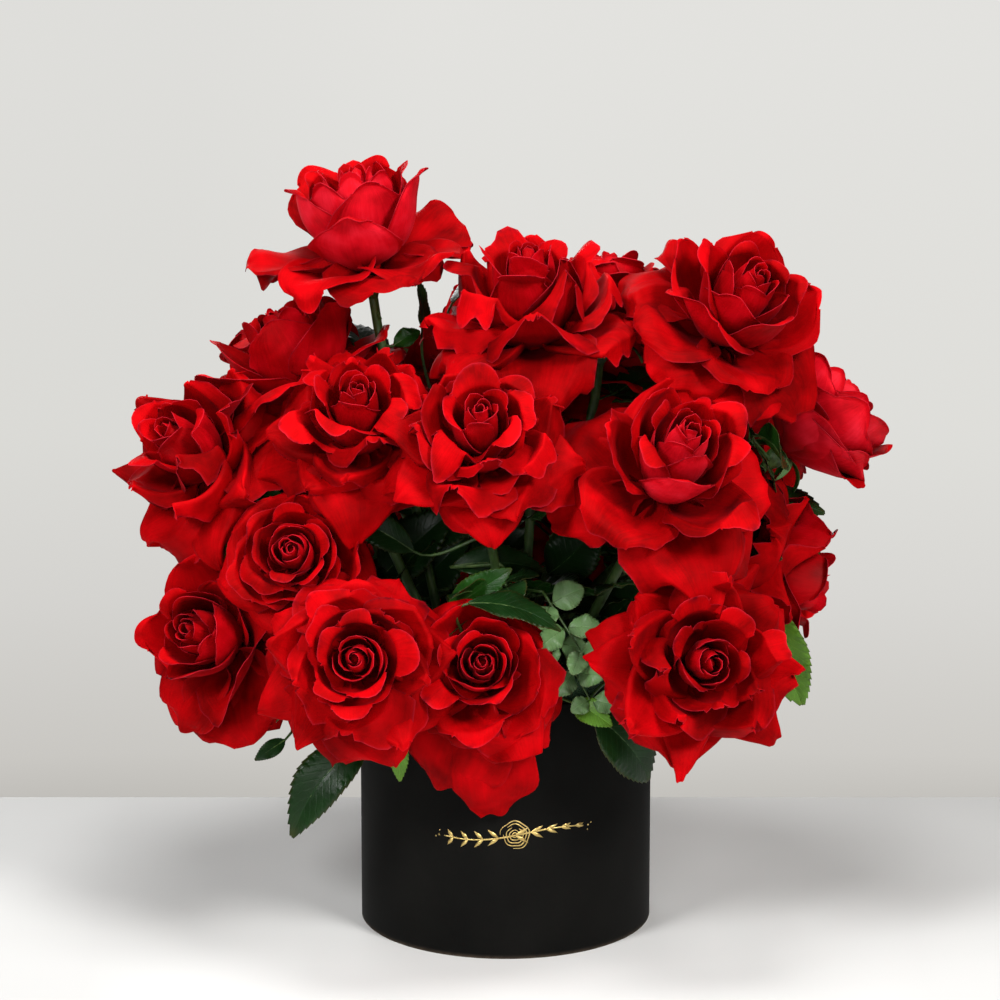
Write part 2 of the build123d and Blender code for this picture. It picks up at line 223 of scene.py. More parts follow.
# ------------------------------------------------------------ petals
def petal_material(name, back=False, pink=False):
    m, nt, b = new_mat(name)
    U, V = uv_split(nt, 'petal')
    au = mth(nt, 'ABSOLUTE', mth(nt, 'SUBTRACT', mth(nt, 'MULTIPLY', U, 2.0), 1.0))
    R = attr(nt, 'petal_rnd')
    oc = coords(nt)
    patch = noise(nt, oc, 45, 3)
    comb = nt.nodes.new('ShaderNodeCombineXYZ')
    nt.links.new(mth(nt, 'MULTIPLY', U, 42.0), comb.inputs[0])
    nt.links.new(mth(nt, 'MULTIPLY', V, 3.2), comb.inputs[1])
    nt.links.new(mth(nt, 'MULTIPLY', R, 60.0), comb.inputs[2])
    vein = noise(nt, comb.outputs[0], 1.0, 4, .6)
    # a brighter, pinker back for some roses: partly the petals' own pinker back, partly a painted highlight where the
    # light catches them
    if pink:
        deep, mid, bright = (.42, .0012, .0048), (.78, .0050, .0155), (.96, .020, .044)
    elif back:
        deep, mid, bright = (.25, .0004, .0015), (.46, .0007, .0034), (.70, .0020, .0090)
    else:
        deep, mid, bright = (.22, .0002, .0007), (.44, .0003, .0016), (.66, .0006, .0032)
    val = mth(nt, 'ADD', mth(nt, 'MULTIPLY', patch, .78), mth(nt, 'MULTIPLY', vein, .22))
    val = mth(nt, 'ADD', val, mth(nt, 'MULTIPLY', mth(nt, 'SUBTRACT', R, .5), .16))
    col = ramp(nt, val, [(.32, deep), (.50, mid), (.68, bright)])
    # thin paler margin, a painted sheen along the petal's edge, with dark bruises here and there
    far = mth(nt, 'MAXIMUM', au, V)
    if pink:
        # the rolled margin is as red as the face
        out = mth(nt, 'MULTIPLY', mth(nt, 'SUBTRACT', mth(nt, 'MAXIMUM', mth(nt, 'ADD', au, .05), V), .70, clamp=True), 9.0, clamp=True)
        col = mixc(nt, out, col, (.60, .0016, .0070))
    # painted sheen: the outermost margin is mixed towards a paler pink
    edge = mth(nt, 'POWER', far, 90.0)
    col = mixc(nt, mth(nt, 'MULTIPLY', edge, .55), col, (.62, .022, .045))
    bruise = mth(nt, 'MULTIPLY', mth(nt, 'POWER', far, 14.0), mth(nt, 'MULTIPLY', mth(nt, 'SUBTRACT', noise(nt, oc, 120, 3), .52, clamp=True), 6.0), clamp=True)
    col = mixc(nt, mth(nt, 'MULTIPLY', bruise, .75), col, (.06, .0006, .004))
    # painted shade: the lower parts of the inner petals and the heart are darkened, where the bloom shades itself
    painted_shade = attr(nt, 'petal_painted_shade')
    col = mixc(nt, mth(nt, 'MULTIPLY', painted_shade, .62 if not back else (.22 if pink else .40)), col, (.035, .0001, .0003))
    # painted shade: darker towards the petal's base, deep in the bloom
    base = mth(nt, 'SUBTRACT', 1.0, mth(nt, 'MULTIPLY', V, 2.4), clamp=True)
    col = mixc(nt, mth(nt, 'MULTIPLY', base, .75), col, (.15, .0004, .0012) if not back else (.22, .0010, .0020))
    nt.links.new(col, b.inputs['Base Color'])
    nt.links.new(mth(nt, 'ADD', mth(nt, 'MULTIPLY', vein, .20), .56 if not back else .36), b.inputs['Roughness'])
    b.inputs['IOR'].default_value = 1.36
    b.inputs['Specular IOR Level'].default_value = .05 if not back else .10
    b.inputs['Sheen Weight'].default_value = .10 if pink else (.04 if not back else .05)
    b.inputs['Sheen Roughness'].default_value = .40
    b.inputs['Sheen Tint'].default_value = (1, .10, .16, 1)
    fine = noise(nt, oc, 2200, 2)
    hgt = mth(nt, 'ADD', vein, mth(nt, 'MULTIPLY', fine, .18))
    bump(nt, b, hgt, .22 if not back else .40, .0006)
    return m


# ------------------------------------------------------------ greens
def leaf_material(name, top, under=False, dusty=0.0):
    m, nt, b = new_mat(name)
    U, V = uv_split(nt, 'leaf')
    au = mth(nt, 'ABSOLUTE', mth(nt, 'SUBTRACT', mth(nt, 'MULTIPLY', U, 2.0), 1.0))
    R = attr(nt, 'leaf_rnd')
    oc = coords(nt)
    # side veins run forward from the midrib
    ph = mth(nt, 'ADD', mth(nt, 'MULTIPLY', V, 11.0), mth(nt, 'MULTIPLY', au, -2.6))
    saw = mth(nt, 'ABSOLUTE', mth(nt, 'SUBTRACT', mth(nt, 'MULTIPLY', mth(nt, 'FRACT', ph), 2.0), 1.0))
    side = mth(nt, 'POWER', saw, 9.0)
    mid = mth(nt, 'POWER', mth(nt, 'SUBTRACT', 1.0, au, clamp=True), 26.0)
    vein = mth(nt, 'MAXIMUM', mth(nt, 'MULTIPLY', side, .38), mid)
    net = noise(nt, oc, 900, 3)
    pat = noise(nt, oc, 60, 4)
    d = tuple(c * .62 for c in top)
    l = tuple(min(1, c * 1.45 + .004) for c in top)
    col = ramp(nt, mth(nt, 'ADD', mth(nt, 'MULTIPLY', pat, .8), mth(nt, 'MULTIPLY', net, .2)), [(.30, d), (.5, top), (.72, l)])
    vc = tuple(min(1, c * 1.9 + .006) for c in top)
    col = mixc(nt, mth(nt, 'MULTIPLY', vein, .55), col, vc)
    # brown tip and margin nicks
    rim = mth(nt, 'POWER', mth(nt, 'MAXIMUM', au, V), 22.0)
    rim = mth(nt, 'MULTIPLY', rim, mth(nt, 'MULTIPLY', noise(nt, oc, 220, 2), 1.2), clamp=True)
    col = mixc(nt, mth(nt, 'MULTIPLY', rim, .6), col, (.10, .07, .015))
    if dusty:
        col = mixc(nt, mth(nt, 'MULTIPLY', noise(nt, oc, 130, 4), dusty), col, (.36, .47, .30))
    nt.links.new(col, b.inputs['Base Color'])
    nt.links.new(mth(nt, 'ADD', mth(nt, 'MULTIPLY', net, .22), .24 if not under else .48), b.inputs['Roughness'])
    b.inputs['Specular IOR Level'].default_value = .17 if not under else .12
    b.inputs['Coat Weight'].default_value = .05 if not under else 0.0
    b.inputs['Coat Roughness'].default_value = .25
    h = mth(nt, 'ADD', mth(nt, 'MULTIPLY', vein, -1.0 if not under else 1.0), mth(nt, 'MULTIPLY', net, .35))
    bump(nt, b, h, .5, .0006)
    return m


def stem_material(name):
    m, nt, b = new_mat(name)
    oc = coords(nt)
    mp = nt.nodes.new('ShaderNodeMapping')
    mp.inputs['Scale'].default_value = (1, 1, .12)
    nt.links.new(oc, mp.inputs['Vector'])
    streak = noise(nt, mp.outputs[0], 700, 3)
    pat = noise(nt, oc, 55, 3)
    val = mth(nt, 'ADD', mth(nt, 'MULTIPLY', streak, .4), mth(nt, 'MULTIPLY', pat, .6))
    col = ramp(nt, val, [(.32, (.020, .045, .010)), (.52, (.050, .105, .022)), (.70, (.115, .170, .045))])
    nt.links.new(col, b.inputs['Base Color'])
    nt.links.new(mth(nt, 'ADD', mth(nt, 'MULTIPLY', streak, .25), .32), b.inputs['Roughness'])
    bump(nt, b, streak, .35, .0005)
    return m


def foam_material(name):
    m, nt, b = new_mat(name)
    oc = coords(nt)
    cell = nt.nodes.new('ShaderNodeTexVoronoi')
    cell.inputs['Scale'].default_value = 900
    nt.links.new(oc, cell.inputs['Vector'])
    cd = cell.outputs['Distance']
    pat = noise(nt, oc, 70, 4)
    col = ramp(nt, mth(nt, 'ADD', mth(nt, 'MULTIPLY', cd, .5), mth(nt, 'MULTIPLY', pat, .6)), [(.25, (.006, .022, .009)), (.6, (.018, .062, .024)), (.9, (.04, .11, .045))])
    nt.links.new(col, b.inputs['Base Color'])
    nt.links.new(mth(nt, 'ADD', mth(nt, 'MULTIPLY', cd, .3), .62), b.inputs['Roughness'])
    bump(nt, b, mth(nt, 'ADD', cd, mth(nt, 'MULTIPLY', pat, .8)), .8, .0010)
    return m


# ------------------------------------------------------------ box
def paper_material(name):
    m, nt, b = new_mat(name)
    oc = coords(nt)
    fib = nt.nodes.new('ShaderNodeMapping')
    fib.inputs['Scale'].default_value = (1, 1, .35)
    fib.inputs['Rotation'].default_value = (.3, .2, .5)
    nt.links.new(oc, fib.inputs['Vector'])
    fine = noise(nt, fib.outputs[0], 1500, 4, .65)
    cloud = noise(nt, oc, 22, 4)
    scuff = noise(nt, fib.outputs[0], 150, 5, .7)
    val = mth(nt, 'ADD', mth(nt, 'MULTIPLY', fine, .35), mth(nt, 'MULTIPLY', cloud, .65))
    col = ramp(nt, val, [(.30, (.0040, .0040, .0037)), (.52, (.0058, .0057, .0051)), (.75, (.0082, .0079, .0071))])
    sc = ramp(nt, scuff, [(.70, (0, 0, 0)), (.80, (1, 1, 1))])
    col = mixc(nt, mth(nt, 'MULTIPLY', sc, .10), col, (.05, .048, .042))
    # handling wear along the lower edge
    geo = nt.nodes.new('ShaderNodeSeparateXYZ')
    nt.links.new(oc, geo.inputs[0])
    low = mth(nt, 'POWER', mth(nt, 'SUBTRACT', 1.0, mth(nt, 'MULTIPLY', geo.outputs[2], 320.0), clamp=True), 2.0)
    wear = mth(nt, 'MULTIPLY', low, mth(nt, 'MULTIPLY', noise(nt, oc, 260, 3), 1.5), clamp=True)
    col = mixc(nt, mth(nt, 'MULTIPLY', wear, .6), col, (.14, .105, .075))
    nt.links.new(col, b.inputs['Base Color'])
    nt.links.new(mth(nt, 'ADD', mth(nt, 'MULTIPLY', fine, .16), .46), b.inputs['Roughness'])
    b.inputs['Specular IOR Level'].default_value = .035
    bump(nt, b, mth(nt, 'ADD', fine, mth(nt, 'MULTIPLY', cloud, .6)), .18, .0004)
    return m


def board_material(name):
    m, nt, b = new_mat(name)
    oc = coords(nt)
    fine = noise(nt, oc, 900, 5, .7)
    fleck = noise(nt, oc, 380, 2)
    col = ramp(nt, mth(nt, 'ADD', mth(nt, 'MULTIPLY', fine, .6), mth(nt, 'MULTIPLY', fleck, .4)), [(.30, (.17, .15, .125)), (.5, (.27, .245, .205)), (.75, (.36, .33, .28))])
    nt.links.new(col, b.inputs['Base Color'])
    nt.links.new(mth(nt, 'ADD', mth(nt, 'MULTIPLY', fine, .15), .78), b.inputs['Roughness'])
    bump(nt, b, fine, .4, .0004)
    return m


def liner_material(name):
    m, nt, b = new_mat(name)
    oc = coords(nt)
    fine = noise(nt, oc, 300, 3)
    col = ramp(nt, fine, [(.3, (.008, .012, .010)), (.7, (.016, .024, .019))])
    nt.links.new(col, b.inputs['Base Color'])
    nt.links.new(mth(nt, 'ADD', mth(nt, 'MULTIPLY', fine, .2), .18), b.inputs['Roughness'])
    bump(nt, b, fine, .1, .0004)
    return m


def foil_material(name):
    m, nt, b = new_mat(name)
    oc = coords(nt)
    fine = noise(nt, oc, 1800, 3, .6)
    patch = noise(nt, oc, 120, 3)
    col = ramp(nt, mth(nt, 'ADD', mth(nt, 'MULTIPLY', fine, .4), mth(nt, 'MULTIPLY', patch, .6)), [(.3, (.50, .34, .10)), (.55, (.80, .60, .22)), (.8, (.95, .80, .42))])
    nt.links.new(col, b.inputs['Base Color'])
    b.inputs['Metallic'].default_value = 1.0
    nt.links.new(mth(nt, 'ADD', mth(nt, 'MULTIPLY', fine, .25), .22), b.inputs['Roughness'])
    bump(nt, b, fine, .25, .0002)
    return m


def table_material(name):
    m, nt, b = new_mat(name)
    oc = coords(nt)
    cloud = noise(nt, oc, 3, 3)
    col = ramp(nt, cloud, [(.3, (.745, .745, .730)), (.7, (.775, .775, .760))])
    ax = nt.nodes.new('ShaderNodeSeparateXYZ')
    nt.links.new(oc, ax.inputs[0])
    # painted shade: the top darkens towards the back, less so on the left
    rear_shade = mth(nt, 'MINIMUM', mth(nt, 'MULTIPLY', mth(nt, 'ADD', ax.outputs[1], .10, clamp=True), .66), .24)
    left = mth(nt, 'MULTIPLY', mth(nt, 'ADD', mth(nt, 'MULTIPLY', ax.outputs[0], -1.0), -.08, clamp=True), 4.0, clamp=True)
    rear_shade = mth(nt, 'MULTIPLY', rear_shade, mth(nt, 'SUBTRACT', 1.0, mth(nt, 'MULTIPLY', left, .6)))
    col = mixc(nt, rear_shade, col, (0, 0, 0))
    # painted shade at the front left
    near_left_shade = mth(nt, 'MULTIPLY', mth(nt, 'SUBTRACT', .02, ax.outputs[1], clamp=True), 2.0, clamp=True)
    col = mixc(nt, mth(nt, 'MULTIPLY', mth(nt, 'MULTIPLY', left, near_left_shade), .14), col, (0, 0, 0))
    # painted shade towards both sides
    side = mth(nt, 'MULTIPLY', mth(nt, 'SUBTRACT', mth(nt, 'ABSOLUTE', ax.outputs[0]), .13, clamp=True), 1.3)
    col = mixc(nt, mth(nt, 'MINIMUM', side, .16), col, (0, 0, 0))
    # painted shade: darker further from the box
    far = mth(nt, 'SQRT', mth(nt, 'ADD', mth(nt, 'MULTIPLY', ax.outputs[0], ax.outputs[0]), mth(nt, 'MULTIPLY', ax.outputs[1], ax.outputs[1])))
    far = mth(nt, 'MULTIPLY', mth(nt, 'SUBTRACT', far, .48), .85, clamp=True)
    col = mixc(nt, far, col, (.30, .30, .294))
    nt.links.new(col, b.inputs['Base Color'])
    nt.links.new(mth(nt, 'ADD', mth(nt, 'MULTIPLY', cloud, .1), .55), b.inputs['Roughness'])
    b.inputs['Specular IOR Level'].default_value = .02
    return m


MAT = {
    'petal_front': petal_material('petal_front'),
    'petal_back': petal_material('petal_back', True),
    'petal_back_pink_highlight': petal_material('petal_back_pink_highlight', True, True),
    'leaf_dark': leaf_material('leaf_dark', (.0062, .0270, .0048)),
    'leaf_mid': leaf_material('leaf_mid', (.011, .058, .005)),
    'leaf_light': leaf_material('leaf_light', (.10, .235, .022)),
    'leaf_dusty': leaf_material('leaf_dusty', (.064, .160, .036), dusty=.34),
    'leaf_under': leaf_material('leaf_under', (.085, .17, .06), under=True),
    'stem': stem_material('stem_green'),
    'foam': foam_material('foam_green'),
    'paper': paper_material('black_paper'),
    'board': board_material('greyboard'),
    'liner': liner_material('liner_plastic'),
    'foil': foil_material('gold_foil'),
    'table': table_material('table_top'),
}


def dress(ob, *keys):
    own = ob.data.materials
    for k, key in enumerate(keys):
        if k < len(own):
            own[k] = MAT[key]
        else:
            own.append(MAT[key])


# ------------------------------------------------------------ rose petals and blooms
# openness 0 (heart) .. 1 (outermost), rows: profile points (r, z) at v = 0, .25, .5, .75, 1
OK_ = np.array([0, .2, .4, .6, .8, 1.0])
VK = np.array([0, .25, .5, .75, 1.0])
RZ = np.array([
    [(1.0, 10), (4.2, 22), (5.4, 34), (4.6, 45), (2.2, 52)],
    [(2.5, 8), (11, 18), (15.0, 30), (15.5, 42), (13.5, 51.5)],
    [(3.5, 6), (17, 14), (24.0, 27), (27.0, 40), (27.5, 50)],
    [(4.5, 4), (20, 9.5), (32, 20), (40.0, 32), (44.5, 42)],
    [(5.5, 2.5), (22, 6.5), (38, 14), (51, 18.5), (59, 13)],
    [(6.0, 1), (22, 3), (38, 5.5), (51, 0), (57, -15)]], float)
KAP = np.array([
    [.25, .25, .20, .24, .36],
    [.20, .09, .070, .068, .066],
    [.18, .058, .042, .034, .026],
    [.16, .046, .028, .012, .000],
    [.15, .040, .014, -.010, -.018],
    [.14, .034, .004, -.020, -.030]])
WID = np.array([12, 18.5, 24, 28.5, 31.5, 33])


def catmull(xk, Y, x):
    """cubic interpolation of rows Y (K,...) at knots xk for x"""
    x = np.asarray(x, float)
    i = np.clip(np.searchsorted(xk, x, side='right') - 1, 0, len(xk) - 2)
    h = xk[i + 1] - xk[i]
    t = (x - xk[i]) / h
    m = np.gradient(Y, xk, axis=0)
    sh = t.shape + (1,) * (Y.ndim - 1)
    t = t.reshape(sh)
    h = h.reshape(sh)
    return ((2 * t**3 - 3 * t**2 + 1) * Y[i] + (t**3 - 2 * t**2 + t) * h * m[i]
            + (-2 * t**3 + 3 * t**2) * Y[i + 1] + (t**3 - t**2) * h * m[i + 1])


def vnoise(rng, n=5, k0=.10, k1=.30):
    """smooth 2-D noise made of a few random waves; returns f(x, y), x and y in mm"""
    a = rng.uniform(0, 2 * np.pi, n)
    k = rng.uniform(k0, k1, n)
    p = rng.uniform(0, 2 * np.pi, n)
    w = rng.normal(0, 1, n)
    w /= np.sqrt((w * w).sum() / 2) + 1e-9
    return lambda x, y: sum(w[j] * np.sin(k[j] * (x * np.cos(a[j]) + y * np.sin(a[j])) + p[j]) for j in range(n))


def sstep(x, a, b):
    t = np.clip((x - a) / (b - a), 0, 1)
    return t * t * (3 - 2 * t)


AK, BK = .68, .74      # where the folds sit in the petal's grid


def petal(rng, o, phi, P, res):
    """one petal: a flat kite-like face whose two sides and top margin are rolled back.
    Returns the grid of its middle surface and its grid coordinates"""
    na, nb, nf = res
    R, Hh = P.get('R', 58.) / 58., P.get('h', 52.) / 52.
    t = np.linspace(0, 1, nf + 1)[1:]
    fl = np.array([.06, .13, .21, .32, .56, 1.0]) if nf == 6 else t ** 1.6
    a1 = np.concatenate([-(AK + (1 - AK) * fl[::-1]), np.linspace(-AK, AK, na), AK + (1 - AK) * fl])
    b1 = np.concatenate([np.linspace(0, 1, nb) ** .94 * BK, BK + (1 - BK) * fl])
    A, B = np.meshgrid(a1, b1)
    ak, bk = np.clip(A / AK, -1, 1), np.clip(B / BK, 0, 1)
    sa, sb = np.clip((np.abs(A) - AK) / (1 - AK), 0, 1), np.clip((B - BK) / (1 - BK), 0, 1)
    sg = np.where(A < 0, -1., 1.)
    lf = A < 0

    def two(lo, hi):
        """a random value for the left side and one for the right"""
        l, r = rng.uniform(lo, hi, 2)
        return np.where(lf, l, r)

    o_s = float(np.clip(o + rng.normal(0, .012) * (o > .3), 0, 1))
    ctrl = np.array([[np.interp(o_s, OK_, RZ[:, j, c]) for c in (0, 1)] for j in range(5)])
    kap = np.array([np.interp(o_s, OK_, KAP[:, j]) for j in range(5)])
    W = np.interp(o_s, OK_, WID) * P.get('wid', 1.07) * rng.normal(1, .06)
    if o > .4:
        s_ = np.clip((o - .35) / .65, 0, 1)
        dd = rng.normal(0, P.get('lift_sd', 6.0)) * s_ + P.get('lift', 0.) * s_
        for j, s in ((2, .12), (3, .5), (4, 1.2)):
            ctrl[j, 1] += dd * s
        sc = rng.normal(1, .05)
        ctrl[3, 0] *= 1 + (sc - 1) * .5
        ctrl[4, 0] *= sc
    ctrl[:, 0] *= R
    ctrl[:, 1] *= Hh
    vv = np.linspace(0, 1, 81)
    C = catmull(VK, ctrl, vv)
    s = np.concatenate([[0], np.cumsum(np.linalg.norm(np.diff(C, axis=0), axis=1))])
    L = s[-1]
    # --- how strongly this petal is folded
    F = P.get('fold', 1.) * float(np.interp(o, [0, .12, .3, .5, 1], [.15, .45, .9, 1.0, 1.0]))
    F *= rng.uniform(.7, 1.15)
    soft = P.get('soft', 0.)
    # --- the kept face: a kite with its sides turned back, or a cup with its lip turned down
    kite = rng.uniform() < P.get('kite', .55) * float(np.interp(o, [.3, .6], [.25, 1]))
    w0 = W * .20
    ws = W * (1 - F * two(.06, .30))
    ysh = rng.uniform(.42, .58) if kite else rng.uniform(.52, .68)
    wt = (W * two(.02, .16) if kite else W * two(.34, .78) * (1 - .2 * F)) + W * .22 * max(0, 1 - F)
    q1 = np.clip(bk / ysh, 0, 1)
    q2 = np.clip((bk - ysh) / (1 - ysh), 0, 1)
    rnd = np.sin(q1 * np.pi / 2) ** (1.0)
    straight = ws + (wt - ws) * q2
    roundt = np.sqrt(np.clip(1 - (q2 * .93) ** 2.2, 0, 1)) * ws
    mixr = np.clip(1 - F + soft, 0, 1)
    hw = w0 + (np.where(bk < ysh, ws, straight * (1 - mixr) + roundt * mixr) - w0) * rnd
    ft = L * (.03 + F * (rng.uniform(.02, .07) if kite else rng.uniform(.12, .27)))
    drop = rng.uniform(.0, .05) if kite else rng.uniform(-.03, .12) + .05 * (1 - F)
    skew = rng.normal(0, .035) * F
    ytop = (L - ft * .55) * (1 - drop * np.abs(ak) ** 1.35 + skew * ak)
    X = hw * ak
    Y = ytop * bk
    # --- margins rolled back round the edges of the face
    fs = W * (.05 + F * (two(.26, .55) if kite else two(.05, .36))) * sstep(bk, .10, .62) * (1 - P.get('taper', .72) * sstep(bk, .72, 1))
    nz = vnoise(rng, 6, .12, .5)
    rag = 1 + P.get('ragged', .16) * nz(X * 1.0, Y * 1.0)
    ds = fs * sa * rag
    dt = ft * sb * (1 - P.get('taper', .72) * np.abs(ak) ** 2.6) * rag
    # outward directions of the side and top edges
    db = 1e-3
    slope = np.where(bk < ysh, .25 * np.cos(q1 * np.pi / 2) * np.pi / 2 * ws / (ysh * L), (wt - ws) / ((1 - ysh) * L + 1e-6))
    nsx, nsy = 1 / np.hypot(1, slope), -slope / np.hypot(1, slope)
    tslope = -ytop * 0 - L * drop * 1.35 * np.sign(ak) * np.abs(ak) ** .35 / (wt + .3 * W)
    ntx, nty = -tslope / np.hypot(1, tslope), 1 / np.hypot(1, tslope)
    vx = ds * nsx * sg + dt * ntx
    vy = ds * nsy + dt * nty
    corner = (sa > 0) & (sb > 0)
    d = np.hypot(vx, vy)
    d = np.where(corner, d * (1 - .22 * np.minimum(sa, sb)), d)
    dx, dy = vx / (np.hypot(vx, vy) + 1e-9), vy / (np.hypot(vx, vy) + 1e-9)
    rho = P.get('rho', 1.05) * rng.uniform(.6, 1.8) * (1 + 2.2 * max(0, 1 - F))
    am = float(np.interp(o, [0, .12, .3, .5, .8, 1], [.5, 1.1, 1.9, 2.35, 2.25, 2.0])) * P.get('curl', 1.)
    amax = am * np.where(sb > 0, rng.uniform(.40, 1.12), two(.35, 1.2)) * (.35 + .65 * min(F, 1.1))
    ang = d / rho
    q = np.where(ang < amax, rho * np.sin(np.minimum(ang, amax)), rho * np.sin(amax) + (d - rho * amax) * np.cos(amax))
    h = np.where(ang < amax, -rho * (1 - np.cos(np.minimum(ang, amax))), -rho * (1 - np.cos(amax)) - (d - rho * amax) * np.sin(amax))
    X = X + dx * q
    Y = Y + dy * q
    H = h
    # --- waves over the face, stronger to the margin; a margin rolled under the face follows it
    ae, be = np.clip(X / (hw + 1e-6), -1, 1), np.clip(Y / (ytop + 1e-6), 0, 1)
    n2 = vnoise(rng, 5, .08, .22)
    amp = np.interp(o, [0, .2, .5, 1], [.0, .30, 1.1, 2.0]) * P.get('wave', 1.)
    env = be ** 1.5 * (.35 + .65 * np.abs(ae) ** 1.5)
    H = H + amp * env * n2(X, Y)
    ph, fr = rng.uniform(0, 6.28), rng.uniform(1.2, 2.4)
    H = H + P.get('ruffle', .6) * np.interp(o, [0, .3, .6, 1], [0, .3, .9, 1.4]) * (np.maximum(np.abs(ae) ** 3, be ** 5)) * be * np.sin(fr * 2 * np.pi * be + 3.2 * ae + ph)
    # the face is pinched a little along its middle towards the tip
    pin = rng.uniform(-.4, 1.3) * np.interp(o, [0, .4, 1], [0, .6, 1.6]) * P.get('pinch', 1.)
    H = H + pin * (np.exp(-(ae / .28) ** 2) - .4) * be ** 3
    # --- laid on the curved profile
    sv = np.clip(Y, 0, L)
    vi = np.interp(sv, s, vv)
    pos = catmull(VK, ctrl, vi)
    over = Y - sv
    pa, pb = catmull(VK, ctrl, np.clip(vi - 1e-3, 0, 1)), catmull(VK, ctrl, np.clip(vi + 1e-3, 0, 1))
    T = pb - pa
    T /= np.linalg.norm(T, axis=-1, keepdims=True) + 1e-12
    pos = pos + T * over[..., None]
    K = np.interp(vi, VK, kap) / R
    K = K * (1 + np.where(X > 0, 1, -1) * P.get('asym', .10) * np.interp(o, [0, .5, 1], [1, .6, .2]))
    K = K + rng.normal(0, .006) * np.interp(o, [0, .4, 1], [0, .4, 1])
    kx = K * X
    small = np.abs(K) < 1e-5
    Ks = np.where(small, 1e-5, K)
    lat = np.where(small, X, np.sin(kx) / Ks)
    inn = np.where(small, .5 * K * X * X, (1 - np.cos(kx)) / Ks)
    Nr, Nz = -T[..., 1], T[..., 0]
    tw = P.get('skew', .07) * np.interp(o, [0, .4, 1], [1, .9, .5]) + rng.normal(0, .10) * np.interp(o, [.2, 1], [0, 1]) * be
    inn = inn + tw * X + H * np.cos(kx)
    lat = lat - H * np.sin(kx) + rng.normal(0, 2.4) * np.interp(o, [.2, 1], [0, 1]) * be ** 2
    r = pos[..., 0] + inn * Nr
    z = pos[..., 1] + inn * Nz
    c, s_ = np.cos(phi), np.sin(phi)
    G = np.stack([r * c - lat * s_, r * s_ + lat * c, z], -1)
    return G, A, B


def grid_normals(G):
    du = np.gradient(G, axis=1)
    dv = np.gradient(G, axis=0)
    n = np.cross(du, dv)
    n /= np.linalg.norm(n, axis=-1, keepdims=True) + 1e-12
    return n


def rose_arrays(seed, P):
    rng = np.random.default_rng(seed)
    N = P.get('N', 33)
    verts, faces, mats, uvs, rnd, sharp, painted_shades = [], [], [], [], [], [], []
    base = 0
    phi = rng.uniform(0, 2 * np.pi)
    extra = P.get('extra', [])
    for i in range(N + len(extra)):
        if i < N:
            t = i / (N - 1)
            o = float(np.interp(t, [0, .22, .42, .62, .80, 1], P.get('open', [0, .14, .34, .56, .80, 1.0])))
            phi += math.radians(137.5) + rng.normal(0, .10)
        else:
            if i == N:
                P0 = P
            o, off, more = extra[i - N]
            phi = P0['down'] + math.radians(off)
            P = dict(P0, **more)
        res = (7, 12, 3) if o < .18 else ((11, 15, 5) if o < .42 else (13, 16, 6))
        G, A, B = petal(rng, o, phi, P, res)
        n = grid_normals(G)
        th = .16
        Bk, Fr = G - n * th, G + n * th
        nv, nu = A.shape
        nvv = nu * nv
        idx = np.arange(nvv).reshape(nv, nu)
        q = np.stack([idx[:-1, :-1], idx[:-1, 1:], idx[1:, 1:], idx[1:, :-1]], -1).reshape(-1, 4)
        verts.append(Fr.reshape(-1, 3))
        verts.append(Bk.reshape(-1, 3))
        faces.append(q + base)
        faces.append(q[:, [0, 3, 2, 1]] + base + nvv)      # both sides are split along the same diagonal
        ring = np.concatenate([idx[0, :], idx[1:, -1], idx[-1, -2::-1], idx[-2:0:-1, 0]])
        nx = np.roll(ring, -1)
        faces.append(np.stack([ring, ring + nvv, nx + nvv, nx], -1) + base)
        mats += [1] * len(q) + [0] * len(q) + [0] * len(ring)
        uv = np.stack([(A + 1) / 2, B], -1).reshape(-1, 2)
        uvs.append(uv)
        uvs.append(uv)
        rnd.append(np.full(2 * nvv, rng.uniform(0, 1)))
        # painted shade, stored per point: darker towards the petal's base, less on outer petals
        shade_amt = np.clip((.88 - B) / .55, 0, 1).reshape(-1) * (1 - .45 * o)
        painted_shades += [shade_amt, shade_amt]
        sharp.append((ring + base, nx + base))
        sharp.append((ring + base + nvv, nx + base + nvv))
        base += 2 * nvv
    # the heart: a small closed twist that fills the middle
    R, Hh = P.get('R', 58.) / 58., P.get('h', 52.) / 52.
    pr = np.array([(5.5, 1), (6.5, 5), (5.0, 12), (3.6, 22), (3.8, 34), (3.0, 42), (1.2, 46)]) * (R, Hh)
    k = 12
    a = np.linspace(0, 2 * np.pi, k, endpoint=False)
    V = np.array([[(r * np.cos(x + .06 * z), r * np.sin(x + .06 * z), z) for x in a] for r, z in pr]).reshape(-1, 3)
    Fq = [(i * k + j, i * k + (j + 1) % k, (i + 1) * k + (j + 1) % k, (i + 1) * k + j) for i in range(len(pr) - 1) for j in range(k)]
    top = len(V)
    V = np.concatenate([V, [[0, 0, pr[-1][1] + .4], [0, 0, pr[0][1]]]])
    Fq += [((len(pr) - 1) * k + j, (len(pr) - 1) * k + (j + 1) % k, top, top) for j in range(k)]
    Fq += [((j + 1) % k, j, top + 1, top + 1) for j in range(k)]
    return (np.concatenate(verts), np.concatenate(faces), np.array(mats), np.concatenate(uvs), np.concatenate(rnd), sharp, (V, Fq), np.concatenate(painted_shades))


